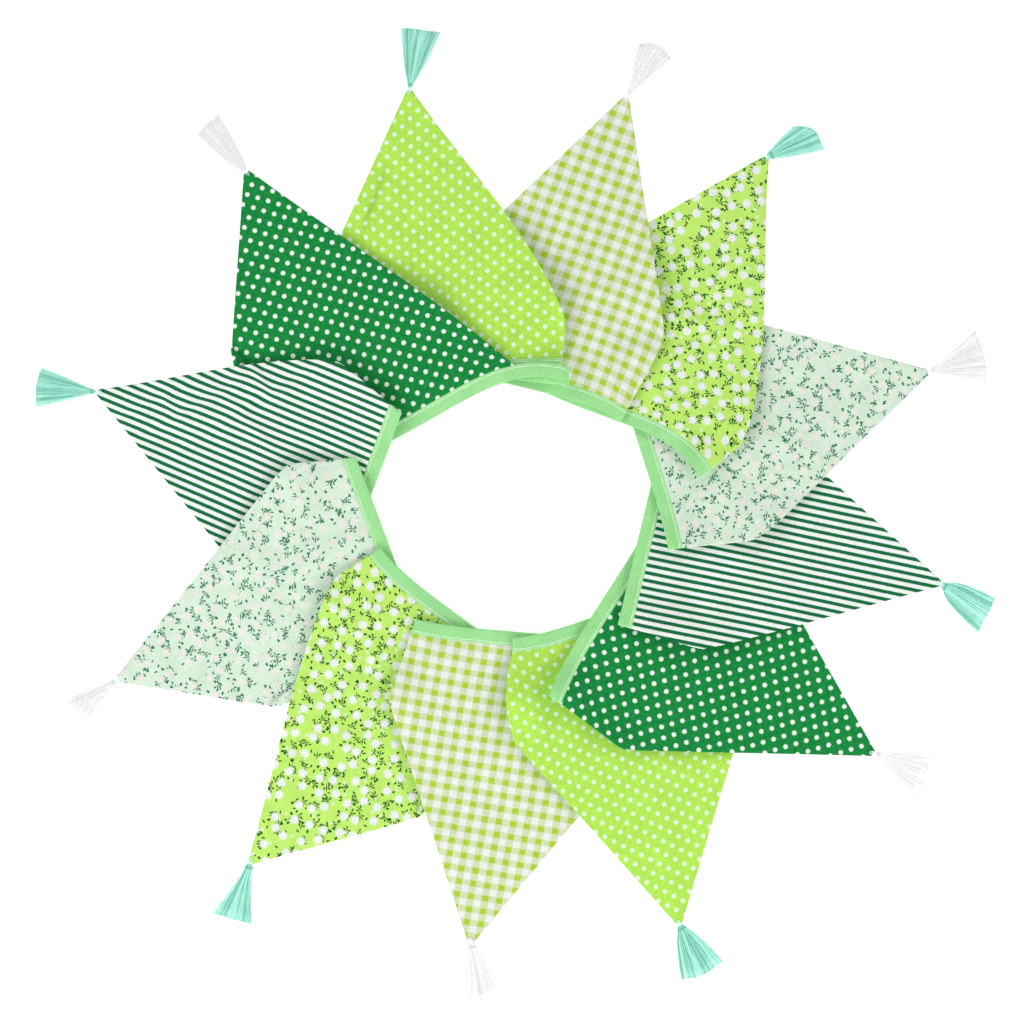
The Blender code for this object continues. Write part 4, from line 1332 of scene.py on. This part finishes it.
class BuntingFlagSettings(bpy.types.PropertyGroup):
    """Sizes and colours of the flags' cotton."""
    cell: length_property("Cell", "Spacing of the points on a flag", 2.2)
    thickness: length_property("Thickness", "Two layers of cotton, pressed", 0.6)
    seam_rise: length_property("Seam rise", "How far the turned-in cloth lifts a face", 0.12)
    lime: colour_property("Lime", "Ground of the lime dotted cotton", "#b5ec59")
    lime_dot: colour_property("Lime dots", "Dots on the lime cotton", "#e6fbdc")
    check: colour_property("Check", "Dyed threads of the checked cotton", "#b1d238")
    check_ground: colour_property("Check ground", "White threads of the check", "#f0f1ee")
    meadow: colour_property("Meadow", "Ground of the lime flower print", "#c2f06f")
    meadow_flower: colour_property("Meadow flowers", "Daisies on lime", "#e6f4dc")
    meadow_heart: colour_property("Meadow hearts", "Middles of those daisies", "#f6f3fd")
    meadow_bud: colour_property("Meadow buds", "Small buds on lime", "#dff6c4")
    meadow_leaf: colour_property("Meadow leaves", "Leaves on lime", "#0f5626")
    daisy_seed: colour_property("Daisy seeds", "Middle points of the white daisies", "#d6d4e2")
    mint: colour_property("Mint", "Ground of the mint flower print", "#d8efd9")
    mint_flower: colour_property("Mint flowers", "Daisies on mint", "#e4efe0")
    mint_heart: colour_property("Mint hearts", "Middles of those daisies", "#efeae0")
    mint_bud: colour_property("Mint buds", "Small buds on mint", "#e6f4e4")
    mint_leaf: colour_property("Mint leaves", "Leaves on mint", "#2a7854")
    stripe: colour_property("Stripe", "Dark stripes", "#0f6e3e")
    stripe_ground: colour_property("Stripe ground", "Pale stripes", "#f4fbf6")
    green: colour_property("Green", "Ground of the dark dotted cotton", "#148a3e")
    green_dot: colour_property("Green dots", "Dots on the dark cotton", "#eefdf2")


class BuntingTapeSettings(bpy.types.PropertyGroup):
    """Sizes and colours of the bias tape and its stitching."""
    thickness: length_property("Thickness", "The tape folded over the flags' edges", 1.2)
    stitch: length_property("Stitch", "Length of one stitch", 2.8)
    stitch_width: length_property("Thread", "Width of the stitching thread", 0.62)
    colour: colour_property("Tape", "Dyed cotton of the tape", "#9ae391")
    # The pale colour serves the painted highlight along the tape's fold, and its paler clouds
    pale: colour_property("Pressed folds", "Tape where it is pressed flat", "#b7f0b0")
    thread: colour_property("Stitching", "Thread of the stitching", "#dcf8da")


class BuntingTasselSettings(bpy.types.PropertyGroup):
    """Sizes and colours of the tassels."""
    threads: bpy.props.IntProperty(name="Threads", description="Threads in one tassel",
                                   default=210, min=20, max=400)
    thread: length_property("Thread", "Thickness of one thread", 0.50)
    mint_dark: colour_property("Mint, dark", "Shaded mint threads", "#66bda6")
    mint_light: colour_property("Mint, light", "Bright mint threads", "#c6fff1")
    white_dark: colour_property("White, dark", "Shaded white threads", "#e6e6e6")
    white_light: colour_property("White, light", "Bright white threads", "#f9f9f9")


class BuntingStageSettings(bpy.types.PropertyGroup):
    """Camera, floor and light."""
    pixel: length_property("Pixel", "Width of one pixel of the 1024-pixel photo", 0.70)
    distance: length_property("Camera distance", "Height of the camera over the cloth", 2400)
    floor: colour_property("Floor", "Card under the garland", "#fbfbfb")
    glow: bpy.props.FloatProperty(name="Glow", description="Extra light from the floor",
                                  default=0.45, min=0.0)
    sky: bpy.props.FloatProperty(name="Sky", description="Even light from all around",
                                 default=0.08, min=0.0)
    lamp: bpy.props.FloatProperty(name="Lamp", description="Power of each soft box, in watts",
                                  default=13.4, min=0.0, subtype="POWER")


# ------------------------------------------------------------------ operators

class BUNTING_OT_flags(bpy.types.Operator):
    """Make the twelve printed flags in the place of their solids."""
    bl_idname = "bunting.flags"
    bl_label = "Sew the flags"

    def execute(self, context):
        s = context.scene.bunting_flags
        cloths = {
            "lime_dots": dotted_cotton("lime_dotted_cotton", s.lime, s.lime_dot, row_spacing=7.78,
                                       column_spacing=7.05, dot=3.2, uneven=0.12),
            "green_dots": dotted_cotton("green_dotted_cotton", s.green, s.green_dot,
                                        row_spacing=7.54, column_spacing=7.54, dot=3.2, uneven=0.9),
            "gingham": gingham_cotton("gingham_cotton", s.check_ground, s.check,
                                      across_repeat=9.97, down_repeat=9.13),
            "stripes": striped_cotton("striped_cotton", s.stripe_ground, s.stripe, repeat=5.25,
                                      share=0.48),
            "lime_floral": floral_cotton("lime_daisy_cotton", s.meadow, s.meadow_flower,
                                         s.meadow_heart, s.daisy_seed, s.meadow_leaf,
                                         s.meadow_bud),
            "mint_floral": floral_cotton("mint_daisy_cotton", s.mint, s.mint_flower,
                                         s.mint_heart, s.mint_heart, s.mint_leaf, s.mint_bud),
        }
        lays = lay_out()
        hub = find_hub(lays)
        flags = [dress_flag(lays, index, s, cloths[lay.row.cloth], hub)
                 for index, lay in enumerate(lays)]
        return {"FINISHED"}


class BUNTING_OT_tape(bpy.types.Operator):
    """Make the folded bias tape and its stitching."""
    bl_idname = "bunting.tape"
    bl_label = "Fold the tape"

    def execute(self, context):
        s = context.scene.bunting_tape
        lays = lay_out()
        hub = find_hub(lays)
        cotton = bias_tape_cotton("bias_cut_cotton", s.colour, s.pale)
        tape, lines, length = dress_tape(lays, s, cotton, hub)
        thread = silky_thread("polyester_sewing_thread", s.thread, s.thread)
        stitching = sew_stitches(lines, s, thread, hub)
        return {"FINISHED"}


class BUNTING_OT_tassels(bpy.types.Operator):
    """Make the twelve thread tassels in the place of their solids."""
    bl_idname = "bunting.tassels"
    bl_label = "Tie the tassels"

    def execute(self, context):
        s = context.scene.bunting_tassels
        yarns = {
            "mint": silky_thread("mint_rayon_floss", s.mint_dark, s.mint_light),
            "white": silky_thread("white_rayon_floss", s.white_dark, s.white_light),
        }
        lays = lay_out()
        hub = find_hub(lays)
        for index, (lay, row) in enumerate(zip(lays, TASSELS)):
            dress_tassel(lay, index, row, s, yarns[row.yarn], hub)
        return {"FINISHED"}


class BUNTING_OT_stage(bpy.types.Operator):
    """Set up the floor, the soft light and the camera that looks straight down."""
    bl_idname = "bunting.stage"
    bl_label = "Set the stage"

    def execute(self, context):
        s = context.scene.bunting_stage
        scene = context.scene
        hub = find_hub(lay_out()) * MM
        mesh = bpy.data.meshes.new("studio_floor")
        ends = ((-1, -1), (1, -1), (1, 1), (-1, 1))
        corners = [(x * FLOOR_REACH, y * FLOOR_REACH, 0.0) for x, y in ends]
        mesh.from_pydata(corners, [], [(0, 1, 2, 3)])
        mesh.materials.append(studio_floor("white_card", s.floor, s.glow))
        floor = bpy.data.objects.new("studio_floor", mesh)
        scene.collection.objects.link(floor)
        for number in range(SOFT_BOXES):
            self.hang_lamp(scene, number, s.lamp)
        world = bpy.data.worlds.new("even_sky")
        world.use_nodes = True
        sky = world.node_tree.nodes["Background"]
        sky.inputs["Color"].default_value = (1.0, 1.0, 1.0, 1.0)
        sky.inputs["Strength"].default_value = s.sky
        scene.world = world
        scene.view_settings.view_transform = "Standard"
        camera_data = bpy.data.cameras.new("overhead_camera")
        camera_data.sensor_width = SENSOR
        camera_data.lens = SENSOR * s.distance / (PHOTO_WIDTH * s.pixel)
        camera = bpy.data.objects.new("overhead_camera", camera_data)
        camera.location = (hub.x, hub.y, s.distance)
        scene.collection.objects.link(camera)
        scene.camera = camera
        return {"FINISHED"}

    def hang_lamp(self, scene, number, power):
        """One of the soft boxes round the table; the nearer side of the room is the brighter."""
        angle = 360 * (number + 0.5) / SOFT_BOXES
        bright = 1 + BRIGHT_SIDE * math.cos(math.radians(angle - BRIGHT_ANGLE))
        data = bpy.data.lights.new(f"soft_box_{number + 1}", "AREA")
        data.shape = "SQUARE"
        data.size = SOFT_BOX_SIZE
        data.energy = power * bright
        lamp = bpy.data.objects.new(data.name, data)
        height = math.sin(math.radians(SOFT_BOX_ELEVATION)) * SOFT_BOX_DISTANCE
        plan = direction(angle) * math.cos(math.radians(SOFT_BOX_ELEVATION)) * SOFT_BOX_DISTANCE
        lamp.location = (plan.x, plan.y, height)
        lamp.rotation_euler = (-lamp.location).to_track_quat("-Z", "Y").to_euler()
        scene.collection.objects.link(lamp)


class BUNTING_PT_panel(bpy.types.Panel):
    """The steps that build the bunting."""
    bl_idname = "BUNTING_PT_panel"
    bl_label = "Bunting"
    bl_space_type = "VIEW_3D"
    bl_region_type = "UI"
    bl_category = "Bunting"

    def draw(self, context):
        for operator in OPERATORS:
            self.layout.operator(operator.bl_idname)


SETTINGS = {
    "bunting_flags": BuntingFlagSettings,
    "bunting_tape": BuntingTapeSettings,
    "bunting_tassels": BuntingTasselSettings,
    "bunting_stage": BuntingStageSettings,
}
OPERATORS = (BUNTING_OT_tassels, BUNTING_OT_flags, BUNTING_OT_tape, BUNTING_OT_stage)
CLASSES = (*SETTINGS.values(), *OPERATORS, BUNTING_PT_panel)


def register():
    """Register the classes and put their settings on the scene."""
    for item in CLASSES:
        bpy.utils.register_class(item)
    for name, group in SETTINGS.items():
        setattr(bpy.types.Scene, name, bpy.props.PointerProperty(type=group))


def unregister():
    """Take the settings and the classes away again."""
    for name in SETTINGS:
        delattr(bpy.types.Scene, name)
    for item in reversed(CLASSES):
        bpy.utils.unregister_class(item)


def main():
    """Build the whole bunting."""
    register()
    bpy.ops.bunting.tassels()
    bpy.ops.bunting.flags()
    bpy.ops.bunting.tape()
    bpy.ops.bunting.stage()


if __name__ == "__main__":
    main()
